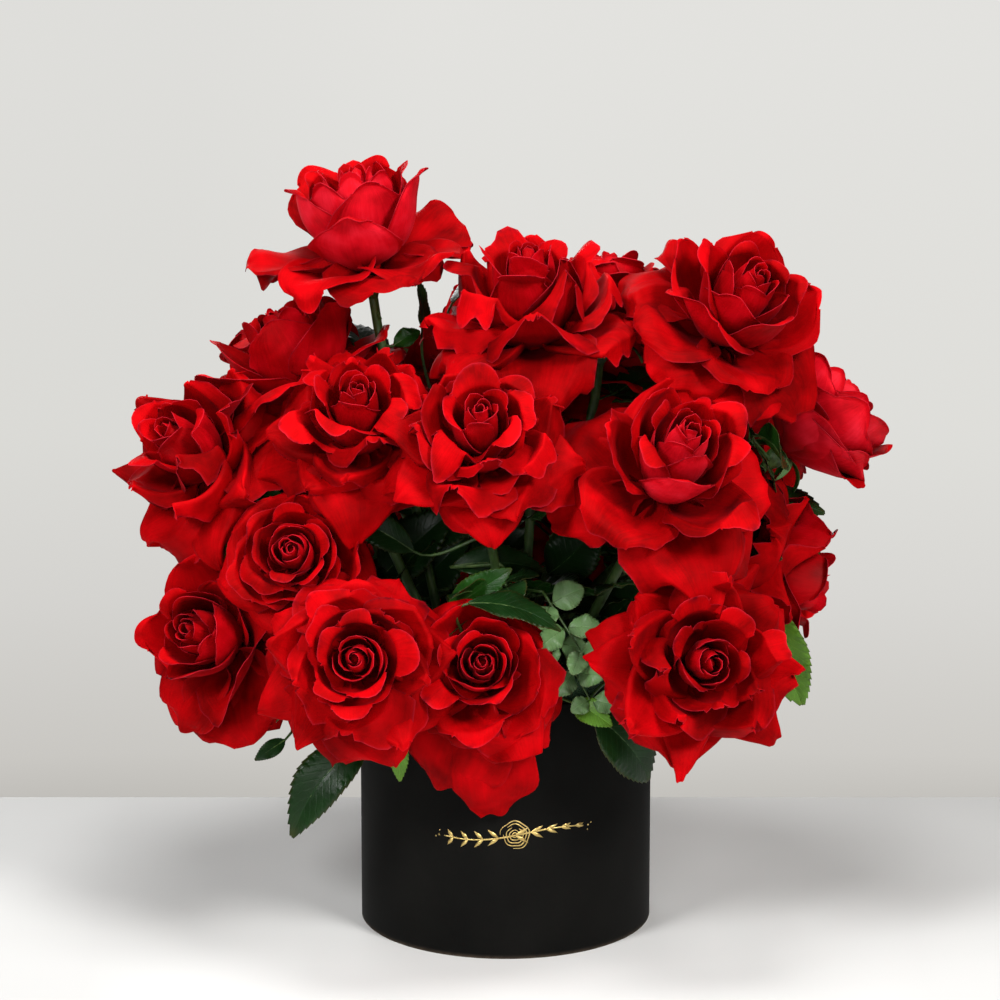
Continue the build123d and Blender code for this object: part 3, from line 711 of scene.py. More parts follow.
def rose_mesh(name, seed, P, M, scale=.001):
    down = np.array(M)[:3, :3].T @ np.array([0, 0, -1.])
    P = dict(P, down=math.atan2(down[1], down[0]))
    v, f, m, uv, rnd, sharp, (hv, hf), painted_shade_pts = rose_arrays(seed, P)
    # the outer petals hang under their own weight
    rr = np.hypot(v[:, 0], v[:, 1]) / P.get('R', 58.)
    low = np.clip((rr - .38) / .62, 0, 1.4) ** 1.6 * P.get('sag', 5.)
    side = v[:, :2] @ down[:2] / (P.get('R', 58.) * (np.linalg.norm(down[:2]) + 1e-6))
    low = low * (1 + np.clip(side, -.5, 1) * P.get('trail', 0.))
    v = v + down * low[:, None]
    nb = len(v)
    v = np.concatenate([v, hv])
    uv = np.concatenate([uv, np.full((len(hv), 2), .5)])
    rnd = np.concatenate([rnd, np.full(len(hv), .3)])
    Mx = np.array(M)
    v = v @ Mx[:3, :3].T + Mx[:3, 3]
    polys = [tuple(q) for q in hf]
    polys = [q[:3] if q[2] == q[3] else q for q in polys]
    sizes = np.concatenate([np.full(len(f), 4), [len(q) for q in polys]]).astype(np.int32)
    loops = np.concatenate([f.ravel(), [i + nb for q in polys for i in q]]).astype(np.int32)
    start = np.concatenate([[0], np.cumsum(sizes)[:-1]]).astype(np.int32)
    me = bpy.data.meshes.new(name)
    me.vertices.add(len(v))
    me.vertices.foreach_set('co', (v * scale).astype(np.float32).ravel())
    me.loops.add(len(loops))
    me.loops.foreach_set('vertex_index', loops)
    me.polygons.add(len(sizes))
    me.polygons.foreach_set('loop_start', start)
    me.polygons.foreach_set('material_index', np.concatenate([m, np.zeros(len(polys))]).astype(np.int32))
    me.update(calc_edges=True)
    me.validate()
    me.polygons.foreach_set('use_smooth', np.ones(len(sizes), bool))
    uvl = me.uv_layers.new(name='petal')
    li = np.zeros(len(me.loops), np.int32)
    me.loops.foreach_get('vertex_index', li)
    uvl.data.foreach_set('uv', uv[li].astype(np.float32).ravel())
    at = me.attributes.new('petal_rnd', 'FLOAT', 'POINT')
    at.data.foreach_set('value', rnd.astype(np.float32))
    # painted shade, also for the heart
    at = me.attributes.new('petal_painted_shade', 'FLOAT', 'POINT')
    at.data.foreach_set('value', np.concatenate([painted_shade_pts, np.full(len(hv), .6)]).astype(np.float32))
    # rims are creased so that each face of a petal shades smoothly up to its edge
    keys = set()
    for a, b in sharp:
        lo = np.minimum(a, b).astype(np.int64)
        hi = np.maximum(a, b).astype(np.int64)
        keys.update((lo * 10000000 + hi).tolist())
    ev = np.zeros(len(me.edges) * 2, np.int32)
    me.edges.foreach_get('vertices', ev)
    ev = ev.reshape(-1, 2).astype(np.int64)
    kk = np.minimum(ev[:, 0], ev[:, 1]) * 10000000 + np.maximum(ev[:, 0], ev[:, 1])
    sh = np.isin(kk, np.fromiter(keys, np.int64, len(keys)))
    se = me.attributes.new('sharp_edge', 'BOOLEAN', 'EDGE')
    se.data.foreach_set('value', sh)
    me.update()
    return me


# ------------------------------------------------------------ small mesh tools
def unit(v):
    v = np.asarray(v, float)
    return v / (np.linalg.norm(v) + 1e-12)


def lathe(name, prof, seg=128, closed=True, wob=None):
    """revolve (r, z) points (mm) about Z; closed means the profile is a loop"""
    prof = np.asarray(prof, float)
    n = len(prof)
    a = np.linspace(0, 2 * np.pi, seg, endpoint=False)
    V = np.stack([prof[:, 0, None] * np.cos(a), prof[:, 0, None] * np.sin(a), np.repeat(prof[:, 1, None], seg, 1)], -1)
    if wob is not None:
        V = wob(V, a)
    F = []
    for i in range(n if closed else n - 1):
        j = (i + 1) % n
        for k in range(seg):
            l = (k + 1) % seg
            F.append((i * seg + k, i * seg + l, j * seg + l, j * seg + k))
    return mesh_from(name, V.reshape(-1, 3), F)


def round_path(pts, radii, n=6):
    """polyline in the (r, z) plane with rounded corners"""
    pts = [np.asarray(p, float) for p in pts]
    out = []
    m = len(pts)
    for i, p in enumerate(pts):
        r = radii[i]
        if r <= 0:
            out.append(p)
            continue
        a, b = pts[i - 1], pts[(i + 1) % m]
        u, v = unit(a - p), unit(b - p)
        phi = math.acos(np.clip(u @ v, -1, 1))
        t = r / math.tan(phi / 2)
        A, B = p + u * t, p + v * t
        c = p + unit(u + v) * r / math.sin(phi / 2)
        ua, ub = unit(A - c), unit(B - c)
        om = math.acos(np.clip(ua @ ub, -1, 1))
        for k in range(n + 1):
            s = k / n
            out.append(c + r * (math.sin((1 - s) * om) * ua + math.sin(s * om) * ub) / math.sin(om))
    return out


def frames_along(P):
    """rotation-minimising frames for a point list"""
    P = np.asarray(P, float)
    T = np.gradient(P, axis=0)
    T /= np.linalg.norm(T, axis=1, keepdims=True) + 1e-12
    a = np.array([0, 0, 1.]) if abs(T[0][2]) < .9 else np.array([1., 0, 0])
    u = unit(np.cross(a, T[0]))
    U = [u]
    for i in range(1, len(P)):
        u = U[-1] - T[i] * (U[-1] @ T[i])
        U.append(unit(u))
    U = np.array(U)
    return T, U, np.cross(T, U)


def tube_arrays(P, rad, seg=12):
    P = np.asarray(P, float)
    rad = np.broadcast_to(rad, len(P))
    T, U, W = frames_along(P)
    a = np.linspace(0, 2 * np.pi, seg, endpoint=False)
    V = P[:, None] + rad[:, None, None] * (np.cos(a)[None, :, None] * U[:, None] + np.sin(a)[None, :, None] * W[:, None])
    F = []
    n = len(P)
    for i in range(n - 1):
        for k in range(seg):
            l = (k + 1) % seg
            F.append((i * seg + k, i * seg + l, (i + 1) * seg + l, (i + 1) * seg + k))
    V = V.reshape(-1, 3)
    F.append(tuple(range(seg - 1, -1, -1)))
    F.append(tuple((n - 1) * seg + k for k in range(seg)))
    return V, F


class Build:
    def __init__(self):
        self.v, self.f, self.m, self.n = [], [], [], 0
        self.uv, self.r = [], []

    def add(self, V, F, mat=0, uv=None, rnd=0.5):
        V = np.asarray(V, float)
        self.v.append(V)
        self.f += [tuple(int(i) + self.n for i in f) for f in F]
        self.m += [mat] * len(F) if np.isscalar(mat) else list(mat)
        self.uv.append(np.zeros((len(V), 2)) + .5 if uv is None else np.asarray(uv, float))
        self.r.append(np.full(len(V), rnd))
        self.n += len(V)

    def mesh(self, name, uvname='leaf', attrname='leaf_rnd'):
        me = mesh_from(name, np.concatenate(self.v), self.f, mats=self.m)
        uv = np.concatenate(self.uv)
        r = np.concatenate(self.r)
        li = np.zeros(len(me.loops), np.int32)
        me.loops.foreach_get('vertex_index', li)
        l = me.uv_layers.new(name=uvname)
        l.data.foreach_set('uv', uv[li].astype(np.float32).ravel())
        at = me.attributes.new(attrname, 'FLOAT', 'POINT')
        at.data.foreach_set('value', r.astype(np.float32))
        return me


# ------------------------------------------------------------ the box
R_OUT, BOX_H, WRAP, BOARD, HEM = 90.0, 160.0, .4, 2.0, 12.0
R_WALL = R_OUT - WRAP
R_IN = R_WALL - BOARD
prof = round_path([(R_WALL, 0.0), (R_OUT, 0.0), (R_OUT, BOX_H), (R_IN - WRAP, BOX_H), (R_IN - WRAP, BOX_H - HEM), (R_IN, BOX_H - HEM),
                   (R_IN, BOX_H - WRAP), (R_WALL, BOX_H - WRAP)], [0, .28, 1.1, 1.1, 0, 0, .7, .7])
# more rings on the long straight wall
full = []
for i, p in enumerate(prof):
    full.append(p)
    q = prof[(i + 1) % len(prof)]
    d = np.linalg.norm(np.asarray(q) - p)
    k = int(d // 6)
    for j in range(1, k):
        full.append(p + (np.asarray(q) - p) * j / k)


def paper_wob(V, a):
    """the paper laps over itself in one seam at the back, and its turned-in edge is a little uneven"""
    z = V[..., 2]
    r = np.hypot(V[..., 0], V[..., 1])
    ang = np.broadcast_to(a, z.shape)
    d = (ang - math.radians(90) + np.pi) % (2 * np.pi) - np.pi
    lap = np.clip(1 - np.abs((d - .055) / .055), 0, 1)
    step = np.where((d > 0) & (d < .115), .22, 0.0) * (r > R_OUT - .2)
    hemm = (r < R_IN - .1) & (z < BOX_H - HEM + .5)
    z2 = z + np.where(hemm, .6 * np.sin(7 * ang + 1) + .4 * np.sin(17 * ang), 0)
    s = (r + step) / r
    # a board tube is never quite round
    s = s * (1 + .0006 * np.sin(2 * ang + .7) + .0003 * np.sin(5 * ang + 2))
    V = V.copy()
    V[..., 0] *= s
    V[..., 1] *= s
    V[..., 2] = z2
    return V


wrap = link(bpy.data.objects.new("paper_wrap", lathe("paper_wrap", full[::-1], 360, True, paper_wob)))
dress(wrap, 'paper')
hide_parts("box_wrap")
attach(wrap, BOX)
dress(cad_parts["box_wall"], 'board')
dress(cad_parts["box_base"], 'paper')
dress(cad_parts["water_liner"], 'liner')
dress(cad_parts["floral_foam"], 'foam')

# ------------------------------------------------------------ foil ornament: a lying sprig with buds, hot-stamped on the front
def foil_ornament():
    B = Build()
    R = R_OUT + .10

    def place(pts, lift=0.0):
        """flat (s, z) drawing on the front wall, s along the wall"""
        out = []
        for s, z, h in pts:
            a = s / R_OUT - math.pi / 2
            out.append(((R + lift + h) * math.cos(a), (R + lift + h) * math.sin(a), z))
        return out

    def stroke(line, w):
        line = np.asarray(line, float)
        T = np.gradient(line, axis=0)
        T /= np.linalg.norm(T, axis=1, keepdims=True)
        N = np.stack([-T[:, 1], T[:, 0]], 1)
        w = np.broadcast_to(w, len(line))
        L, Rr = line + N * w[:, None] / 2, line - N * w[:, None] / 2
        n = len(line)
        V = []
        for h in (0.02, -.06):
            V += place([(p[0], p[1], h) for p in L]) + place([(p[0], p[1], h) for p in Rr])
        F = []
        for i in range(n - 1):
            a, b, c, d = i, i + 1, n + i + 1, n + i
            F.append((a, d, c, b))
            a2, b2, c2, d2 = [2 * n + q for q in (a, b, c, d)]
            F.append((a2, b2, c2, d2))
            F.append((a, b, b2, a2))
            F.append((d, d2, c2, c))
        F.append((0, 2 * n, 3 * n, n))
        F.append((n - 1, 2 * n - 1, 4 * n - 1, 3 * n - 1))
        B.add(V, F)

    zc, sc = 79.0, 5.5
    t = np.linspace(-1, 1, 41)
    # main stem, a shallow S
    main = np.stack([sc + 44 * t, zc + 3.4 * np.sin(t * 2.4)], 1)
    stroke(main, .80 * (1 - .55 * np.abs(t)) + .35)
    # paired leaves along it
    for k, s in enumerate(np.linspace(-.86, .86, 9)):
        p = np.array([sc + 44 * s, zc + 3.4 * math.sin(s * 2.4)])
        for sgn in (-1, 1):
            ln = 9.4 - 3.6 * abs(s)
            ang = math.radians(sgn * 52 * (1 - .1 * k % 2)) + (0 if s > 0 else math.pi)
            d = np.array([math.cos(ang), math.sin(ang)]) * (1 if s > 0 else 1)
            d = np.array([abs(math.cos(ang)) * (1 if s >= 0 else -1), sgn * abs(math.sin(ang))])
            u = np.linspace(0, 1, 13)
            line = p + d * ln * u[:, None] + np.stack([np.zeros(13), sgn * .8 * np.sin(u * np.pi) * -.4], 1)
            stroke(line, .14 + 2.1 * np.sin(np.pi * np.clip(u, .02, .98)) ** 1.3)
    # a small open bloom in the middle, drawn with arcs
    for r, a0, a1, w in ((1.5, 0, 5.4, .6), (3.2, .7, 5.9, .65), (5.1, 1.9, 7.3, .7), (7.0, 3.1, 8.6, .75), (8.8, 4.6, 9.4, .7)):
        a = np.linspace(a0, a1, 34)
        rr = r * (1 + .05 * np.sin(5 * a))
        stroke(np.stack([sc + rr * np.cos(a), zc + .2 + rr * np.sin(a)], 1), w * (.35 + .65 * np.sin(np.linspace(.15, np.pi - .15, 34))))
    # dots at the ends
    for s in (-1, 1):
        for q, (dx, dz) in enumerate(((47.5, 2.2), (49.6, 3.4), (47.0, -.6))):
            a = np.linspace(0, 2 * np.pi, 15)
            rr = .62 - .12 * q
            stroke(np.stack([sc + s * dx + rr * .5 * np.cos(a), zc + s * dz + rr * .5 * np.sin(a)], 1), rr)
    return B.mesh("foil_ornament", 'foil', 'foil_rnd')


foil = link(bpy.data.objects.new("foil_ornament", foil_ornament()))
dress(foil, 'foil')
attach(foil, BOX)

# ------------------------------------------------------------ stems
STEM_R, BEND_R, FOAM_TOP = 3.1, 26.0, 178.0


def stem_path(hip, axis, entry, straight, depth):
    H, n = np.array(hip, float), unit(axis)
    P1 = H - n * straight
    E = np.array([entry[0], entry[1], FOAM_TOP - 4.0])
    d = unit(P1 - E)
    P0 = E - d * depth
    top = H - n * 2
    a, b = unit(P0 - P1), unit(top - P1)
    phi = math.acos(np.clip(a @ b, -1, 1))
    t = min(BEND_R / math.tan(phi / 2), .9 * np.linalg.norm(top - P1), .9 * np.linalg.norm(P0 - P1))
    r = t * math.tan(phi / 2)
    A, B = P1 + a * t, P1 + b * t
    c = P1 + unit(a + b) * r / math.sin(phi / 2)
    ua, ub = unit(A - c), unit(B - c)
    om = math.acos(np.clip(ua @ ub, -1, 1))
    k = np.linspace(0, 1, 9)[:, None]
    arc = c + r * (np.sin((1 - k) * om) * ua + np.sin(k * om) * ub) / math.sin(om)
    n0 = max(3, int(np.linalg.norm(A - P0) / 5))
    n1 = max(2, int(np.linalg.norm(top - B) / 5))
    seg0 = P0 + (A - P0) * np.linspace(0, 1, n0, endpoint=False)[:, None]
    seg1 = B + (top - B) * np.linspace(0, 1, n1 + 1)[1:, None]
    return np.concatenate([seg0, arc, seg1]), E


def make_stem(num, hip, axis, entry, straight, depth):
    rng = np.random.default_rng(900 + num)
    P, E = stem_path(hip, axis, entry, straight, depth)
    B = Build()
    s = np.concatenate([[0], np.cumsum(np.linalg.norm(np.diff(P, axis=0), axis=1))])
    rad = STEM_R * (.97 + .03 * np.sin(s / 23 + num))
    for c in rng.uniform(.35, .85, 2) * s[-1]:
        rad = rad + .28 * np.exp(-((s - c) / 3.0) ** 2)
    V, F = tube_arrays(P, rad, 14)
    B.add(V, F, 0, rnd=rng.uniform())
    T, U, W = frames_along(P)
    # thorns, hooked back down the stem
    L0 = np.linalg.norm(E - P[0])
    for _ in range(int((s[-1] - L0) / 26)):
        q = rng.uniform(L0 + 8, s[-1] - 22) if s[-1] - 22 > L0 + 8 else None
        if q is None:
            continue
        i = int(np.searchsorted(s, q))
        a = rng.uniform(0, 2 * np.pi)
        out = U[i] * math.cos(a) + W[i] * math.sin(a)
        h = rng.uniform(2.6, 4.4)
        rings = []
        for k, (d, w, l) in enumerate(((-.6, 1.5, 3.2), (.35, .95, 2.1), (.75, .45, 1.0), (1.0, .06, .12))):
            c = P[i] + out * (STEM_R * .86 + max(d, 0) * h) - T[i] * (d if d > 0 else 0) ** 1.6 * h * .55
            if d < 0:
                c = P[i] + out * STEM_R * .75
            side = np.cross(out, T[i])
            rings.append([c + side * w * math.cos(x) * .8 + T[i] * l * math.sin(x) * .8 for x in np.linspace(0, 2 * np.pi, 7, endpoint=False)])
        V = np.array(rings).reshape(-1, 3)
        F = [(r * 7 + k, r * 7 + (k + 1) % 7, (r + 1) * 7 + (k + 1) % 7, (r + 1) * 7 + k) for r in range(3) for k in range(7)]
        F.append(tuple(range(6, -1, -1)))
        F.append(tuple(21 + k for k in range(7)))
        B.add(V, F, 0, rnd=rng.uniform())
    # hip
    n = unit(axis)
    u = unit(np.cross([0.3, .8, .1], n))
    w = np.cross(n, u)
    H = np.array(hip, float)
    prof = [(2.9, -13.5), (3.3, -12), (4.5, -9.4), (5.9, -6.4), (6.25, -4.2), (6.2, -2.0), (6.4, -.2), (5.8, 1.4), (3.6, 3.4)]
    a = np.linspace(0, 2 * np.pi, 20, endpoint=False)
    V = np.array([[H + n * z + (u * math.cos(x) + w * math.sin(x)) * r for x in a] for r, z in prof]).reshape(-1, 3)
    F = [(r * 20 + k, r * 20 + (k + 1) % 20, (r + 1) * 20 + (k + 1) % 20, (r + 1) * 20 + k) for r in range(len(prof) - 1) for k in range(20)]
    F.append(tuple(range(19, -1, -1)))
    F.append(tuple((len(prof) - 1) * 20 + k for k in range(20)))
    B.add(V, F, 0, rnd=rng.uniform())
    # five sepals, bent back under the flower
    for k in range(5):
        ph = k * 2 * np.pi / 5 + rng.normal(0, .12)
        e = u * math.cos(ph) + w * math.sin(ph)
        tn = np.cross(n, e)
        # the hip of rose 16 sits just over the rim, where long sepals would reach through the wall
        ln = rng.uniform(22, 32) * (.62 if num == 16 else 1)
        curl = rng.uniform(1.4, 2.5) * {1: .3, 16: .12}.get(num, 1)
        nv, nu = 14, 5
        pts = np.zeros((nv, nu, 3))
        uvs = np.zeros((nv, nu, 2))
        pos = H + e * 4.6 + n * .3
        ang = math.radians(rng.uniform(65, 95))
        tw = rng.normal(0, .25)
        for i in range(nv):
            v = i / (nv - 1)
            th = ang + curl * v ** 1.2
            d = n * math.cos(th) + e * math.sin(th)
            nm = -n * math.sin(th) + e * math.cos(th)
            if i:
                pos = pos + d * ln / (nv - 1)
            wd = 3.9 * (1 - v) ** .75 * (1 + .8 * v) * (.72 + .28 * math.cos(v * 2)) + .12
            for j in range(nu):
                x = (j / (nu - 1) * 2 - 1)
                pts[i, j] = pos + tn * (wd * x) + nm * (-abs(x) * wd * .28 + tw * x * v * 2)
                uvs[i, j] = (j / (nu - 1), v)
        V, F, UV, M = slab(pts, uvs, .5)
        B.add(V, F, [1 if q == 0 else 2 for q in M], UV, rng.uniform())
    me = B.mesh(f"stem_{num:02d}")
    ob = link(bpy.data.objects.new(f"stem_{num:02d}", me))
    dress(ob, 'stem', 'leaf_mid', 'leaf_under')
    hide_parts(f"rose_{num:02d}_stem")
    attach(ob, ARR)
    return ob


def slab(G, UVg, th):
    """closed thin sheet from a grid of points; returns verts, faces, uv, side of each face (0 front, 1 back)"""
    nv, nu = G.shape[:2]
    du = np.gradient(G, axis=1)
    dv = np.gradient(G, axis=0)
    n = np.cross(du, dv)
    n /= np.linalg.norm(n, axis=-1, keepdims=True) + 1e-12
    A, Bk = G + n * th / 2, G - n * th / 2
    idx = np.arange(nv * nu).reshape(nv, nu)
    q = np.stack([idx[:-1, :-1], idx[:-1, 1:], idx[1:, 1:], idx[1:, :-1]], -1).reshape(-1, 4)
    N = nv * nu
    ring = np.concatenate([idx[0, :], idx[1:, -1], idx[-1, -2::-1], idx[-2:0:-1, 0]])
    nx = np.roll(ring, -1)
    F = [tuple(f) for f in q] + [tuple(f[[0, 3, 2, 1]] + N) for f in q] + [tuple(f) for f in np.stack([ring, ring + N, nx + N, nx], -1)]
    M = [0] * len(q) + [1] * len(q) + [1] * len(ring)
    V = np.concatenate([A.reshape(-1, 3), Bk.reshape(-1, 3)])
    UV = np.concatenate([UVg.reshape(-1, 2)] * 2)
    return V, F, UV, M


# ------------------------------------------------------------ leaves
def hits_box(G):
    """whether any of these points (mm) lies in or close to the box wall"""
    G = np.asarray(G, float)
    r = np.hypot(G[..., 0], G[..., 1])
    return bool(((r > 83) & (r < 94) & (G[..., 2] < 163)).any())


def add_blade(B, rng, base, tip, face, width, stalk=None, teeth=15, round_=.0, wavy=None, mats=(0, 1, 2), fine=True):
    """one serrated blade with its midrib; face is the side turned to the light"""
    Bp, Tp = np.array(base, float), np.array(tip, float)
    ax = Tp - Bp
    ln = np.linalg.norm(ax)
    ax /= ln
    n = np.array(face, float)
    n = unit(n - ax * (n @ ax))
    s = np.cross(n, ax)
    nv, nu = (61, 11) if ln > 20 else (35, 9)
    if not fine:
        nv, nu, teeth = 34, 7, 11
    v = np.linspace(0, 1, nv)
    saw = (v * teeth) % 1.0
    hw = width / 2 * np.sin(np.pi * np.clip(v, .0001, .9999) ** .85) ** (.8 - .35 * round_)
    hw = hw * (1 + np.where((v > .08) & (v < .97), .085 * (saw ** 1.4) - .03, 0)) + .25
    fold = math.tan(math.radians(rng.uniform(8, 20)))
    droop = rng.uniform(.04, .12) * ln
    side = rng.normal(0, .03) * ln
    wavy = rng.uniform(.4, 1.1) if wavy is None else wavy
    ph = rng.uniform(0, 6.28)
    G = np.zeros((nv, nu, 3))
    UVg = np.zeros((nv, nu, 2))
    for j in range(nu):
        x = j / (nu - 1) * 2 - 1
        xx = hw * x
        h = fold * np.abs(xx) * (1 - .3 * np.abs(x)) - droop * (2 * v - 1) ** 2 + droop * .55
        h = h + wavy * np.abs(x) ** 2 * np.sin(v * 15 + ph + x) * np.minimum(1, 3 * (1 - v))
        # pillows between the side veins
        h = h + .22 * np.sin(np.pi * ((v * 11 - 2.6 * abs(x)) % 1.0)) * (1 - abs(x) ** 4) * np.minimum(1, 6 * v)
        lat = xx + side * np.sin(np.pi * v)
        # teeth point forward
        fwd = v * ln + (abs(x) ** 6) * (saw - .3) * ln / teeth * .55
        G[:, j] = Bp + ax * fwd[:, None] + s * lat[:, None] + n * h[:, None]
        UVg[:, j, 0] = j / (nu - 1)
        UVg[:, j, 1] = v
    V, F, UV, M = slab(G, UVg, .35)
    r = rng.uniform()
    if not fine and hits_box(G):
        return
    B.add(V, F, [mats[1] if q == 0 else mats[0] for q in M], UV, r)
    # midrib under the blade, tapering, running on as the stalk
    mid = G[:, nu // 2] - n * .25
    pts = [p for p in mid[::4]]
    d0 = unit(mid[0] - mid[4])
    if stalk is not None:
        R0 = np.array(stalk, float)
        d1 = unit(R0 - mid[0])
        Lk = np.linalg.norm(R0 - mid[0])
        st = []
        for t in np.linspace(0, 1, 9)[1:]:
            st.append((1 - t) ** 3 * mid[0] + 3 * (1 - t) ** 2 * t * (mid[0] + d0 * Lk * .35) + 3 * (1 - t) * t * t * (R0 - d1 * Lk * .3) + t ** 3 * R0)
        rad = np.concatenate([np.linspace(1.2, .85, len(st)), np.linspace(.75, .18, len(pts))]) * min(1, ln / 30 + .35)
    else:
        st = [mid[0] + d0 * q for q in (3, 1.5)]
        rad = np.concatenate([[.7, .7], np.linspace(.65, .18, len(pts))]) * min(1, ln / 30 + .35)
    pts = st[::-1] + pts if stalk is not None else [st[0], st[1]] + pts
    V, F = tube_arrays(pts, rad, 8)
    B.add(V, F, mats[2], rnd=r)
    return st


STEM_LINES = {k: stem_path(h, a, e, L1, dep)[0] for k, (h, a, e, L1, dep, rad) in ROSES.items()}


def nearest_stem(p, n=None):
    best = None
    for k, P in STEM_LINES.items():
        for q in P:
            if q[2] < 165:
                continue
            d = np.linalg.norm(q - p)
            if best is None or d < best[0]:
                best = (d, q, k)
    return best


def make_leaf(idx, name, node, base, tip, face, width, tone, kind='leaf', leaflets=0):
    rng = np.random.default_rng(3000 + idx)
    Bp, Tp = np.array(base, float), np.array(tip, float)
    ax = unit(Tp - Bp)
    n = np.array(face, float)
    n = unit(n - ax * (n @ ax))
    s = np.cross(n, ax)
    ln = np.linalg.norm(Tp - Bp)
    B = Build()
    d, root, _ = nearest_stem(Bp - ax * 4)
    if name in ('leaf_l02', 'leaf_b03'):
        d, root = 40., Bp + np.array([7., 10., -48.])
    if kind == 'sprig':
        # a short sprig of small round leaves, in pairs
        stem = [Bp - ax * 6, Bp, Bp + ax * ln * .35, Bp + ax * ln * .7, Tp]
        V, F = tube_arrays(stem, np.array([.9, .9, .8, .6, .4]), 8)
        B.add(V, F, 2)
        for k, t in enumerate((.08, .55, 1.0)):
            c = Bp + ax * ln * t
            for sg in (-1, 1):
                dirv = unit(s * sg + ax * rng.uniform(.1, .9) + n * rng.uniform(-.1, .7))
                L = rng.uniform(16, 23) * (1 - .2 * t)
                fn = unit(n + s * sg * rng.uniform(-.5, .2) + ax * rng.uniform(-.4, .4))
                add_blade(B, rng, c + dirv * 2, c + dirv * (2 + L), fn, L * rng.uniform(.74, .9), teeth=11, round_=.55, wavy=1.0)
        if d < 60:
            add_stalk(B, [Bp - ax * 6, root])
    else:
        st = add_blade(B, rng, Bp, Tp, n, width, stalk=root if d < 75 else None)
        # side leaflets of the same compound leaf, on its stalk
        for q in range(leaflets):
            for sg in (-1, 1):
                k = 2 + 2 * q
                if d < 75 and k < len(st):
                    c = np.array(st[k])
                    back = unit(np.array(st[k - 1]) - c)
                else:
                    c = Bp - ax * (6 + 9 * q)
                    back = ax
                sc = rng.uniform(.5, .75)
                dirv = unit(s * sg * rng.uniform(.8, 1.1) + back * rng.uniform(.3, .7) + n * rng.uniform(-.35, .15))
                fn = unit(n + s * sg * rng.uniform(-.5, .1))
                add_blade(B, rng, c + dirv * 2.5, c + dirv * (2.5 + ln * sc), fn, width * sc)
    me = B.mesh(name)
    ob = link(bpy.data.objects.new(name, me))
    dress(ob, tone, 'leaf_under' if tone != 'leaf_dark' else 'leaf_mid', 'stem')
    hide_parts(node)
    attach(ob, ARR)
    return ob


def add_stalk(B, pts):
    P = [np.asarray(p, float) for p in pts]
    if len(P) == 2:
        m = (P[0] + P[1]) / 2 + np.array([0, 0, -.08]) * np.linalg.norm(P[1] - P[0])
        P = [(1 - t) ** 2 * P[0] + 2 * (1 - t) * t * m + t * t * P[1] for t in np.linspace(0, 1, 8)]
    V, F = tube_arrays(P, np.linspace(.8, 1.2, len(P)), 8)
    B.add(V, F, 2)


def inner_foliage():
    """dark leaves left on the stems between the flowers, which close the view into the bunch"""
    rng = np.random.default_rng(77)
    Bs = [Build() for _ in range(3)]
    count = 0
    for k, P in sorted(STEM_LINES.items()):
        s = np.concatenate([[0], np.cumsum(np.linalg.norm(np.diff(P, axis=0), axis=1))])
        ok = [i for i in range(2, len(P) - 2) if 186 < P[i][2] < 335 and s[-1] - s[i] > 30]
        if not ok:
            continue
        for j in range(min(6, max(2, len(ok) // 3))):
            B = Bs[count % 3]
            i = ok[int(rng.integers(len(ok)))]
            T = unit(P[i + 1] - P[i - 1])
            out = np.array([P[i][0], P[i][1], 0.]) + rng.normal(0, 45, 3) * (1, 1, .2)
            out = unit(out - T * (out @ T))
            L = rng.uniform(34, 50)
            d = unit(out + T * rng.uniform(-.2, .7))
            c0 = P[i] + out * 2.6
            c1 = c0 + d * rng.uniform(10, 22)
            n = unit(np.array([0, 0, 1.]) + rng.normal(0, .35, 3))
            n = unit(n - d * (n @ d))
            s_ = np.cross(n, d)
            add_stalk(B, [c0, c1])
            add_blade(B, rng, c1, c1 + d * L, n, L * rng.uniform(.55, .68), fine=False)
            for sg in (-1, 1):
                if rng.uniform() < .75:
                    dv = unit(s_ * sg + d * .5)
                    c = c0 + (c1 - c0) * .7
                    add_blade(B, rng, c + dv * 2, c + dv * (2 + L * .6), unit(n - s_ * sg * .2), L * .36, fine=False)
            count += 1
    # larger leaves hanging in the gaps between the front flowers
    for bp, tp, w in (((-78, 8, 214), (-34, 2, 258), 36.), ((-52, 26, 232), (-12, 20, 268), 34.), ((-22, 22, 208), (14, 12, 244), 34.),
                      ((120, 14, 246), (158, 6, 284), 36.), ((26, 16, 214), (58, 8, 252), 34.), ((60, -4, 186), (92, -22, 222), 34.), ((-62, 34, 196), (-24, 30, 236), 36.)):
        bp, tp = np.array(bp, float), np.array(tp, float)
        B = Bs[0]
        d = unit(tp - bp)
        n = unit(np.array([.1, -.9, .4]) + rng.normal(0, .15, 3))
        n = unit(n - d * (n @ d))
        dd, root, _ = nearest_stem(bp)
        add_stalk(B, [bp, root])
        add_blade(B, rng, bp, tp, n, w)
    # short leaves pushed into the foam near the rim, lying outward over it
    for k in range(34):
        a = k * 2.39996 + rng.normal(0, .12)
        r0 = rng.uniform(52, 76)
        B = Bs[1 + k % 2]
        p = np.array([r0 * math.cos(a), r0 * math.sin(a), 177.0])
        if math.sin(a) < -.72 and abs(math.cos(a)) < .5 and k % 2:
            continue
        e = np.array([math.cos(a + rng.normal(0, .4)), math.sin(a + rng.normal(0, .4)), 0.])
        c1 = p + e * 7 + np.array([0, 0, 8.0])
        L = rng.uniform(32, 46)
        d = unit(e + np.array([0, 0, rng.uniform(-.28, .15)]))
        n = unit(np.array([0, 0, 1.]) + e * .3 + rng.normal(0, .22, 3))
        n = unit(n - d * (n @ d))
        add_stalk(B, [p, c1])
        add_blade(B, rng, c1, c1 + d * L, n, L * rng.uniform(.55, .7), fine=False)
    return Bs



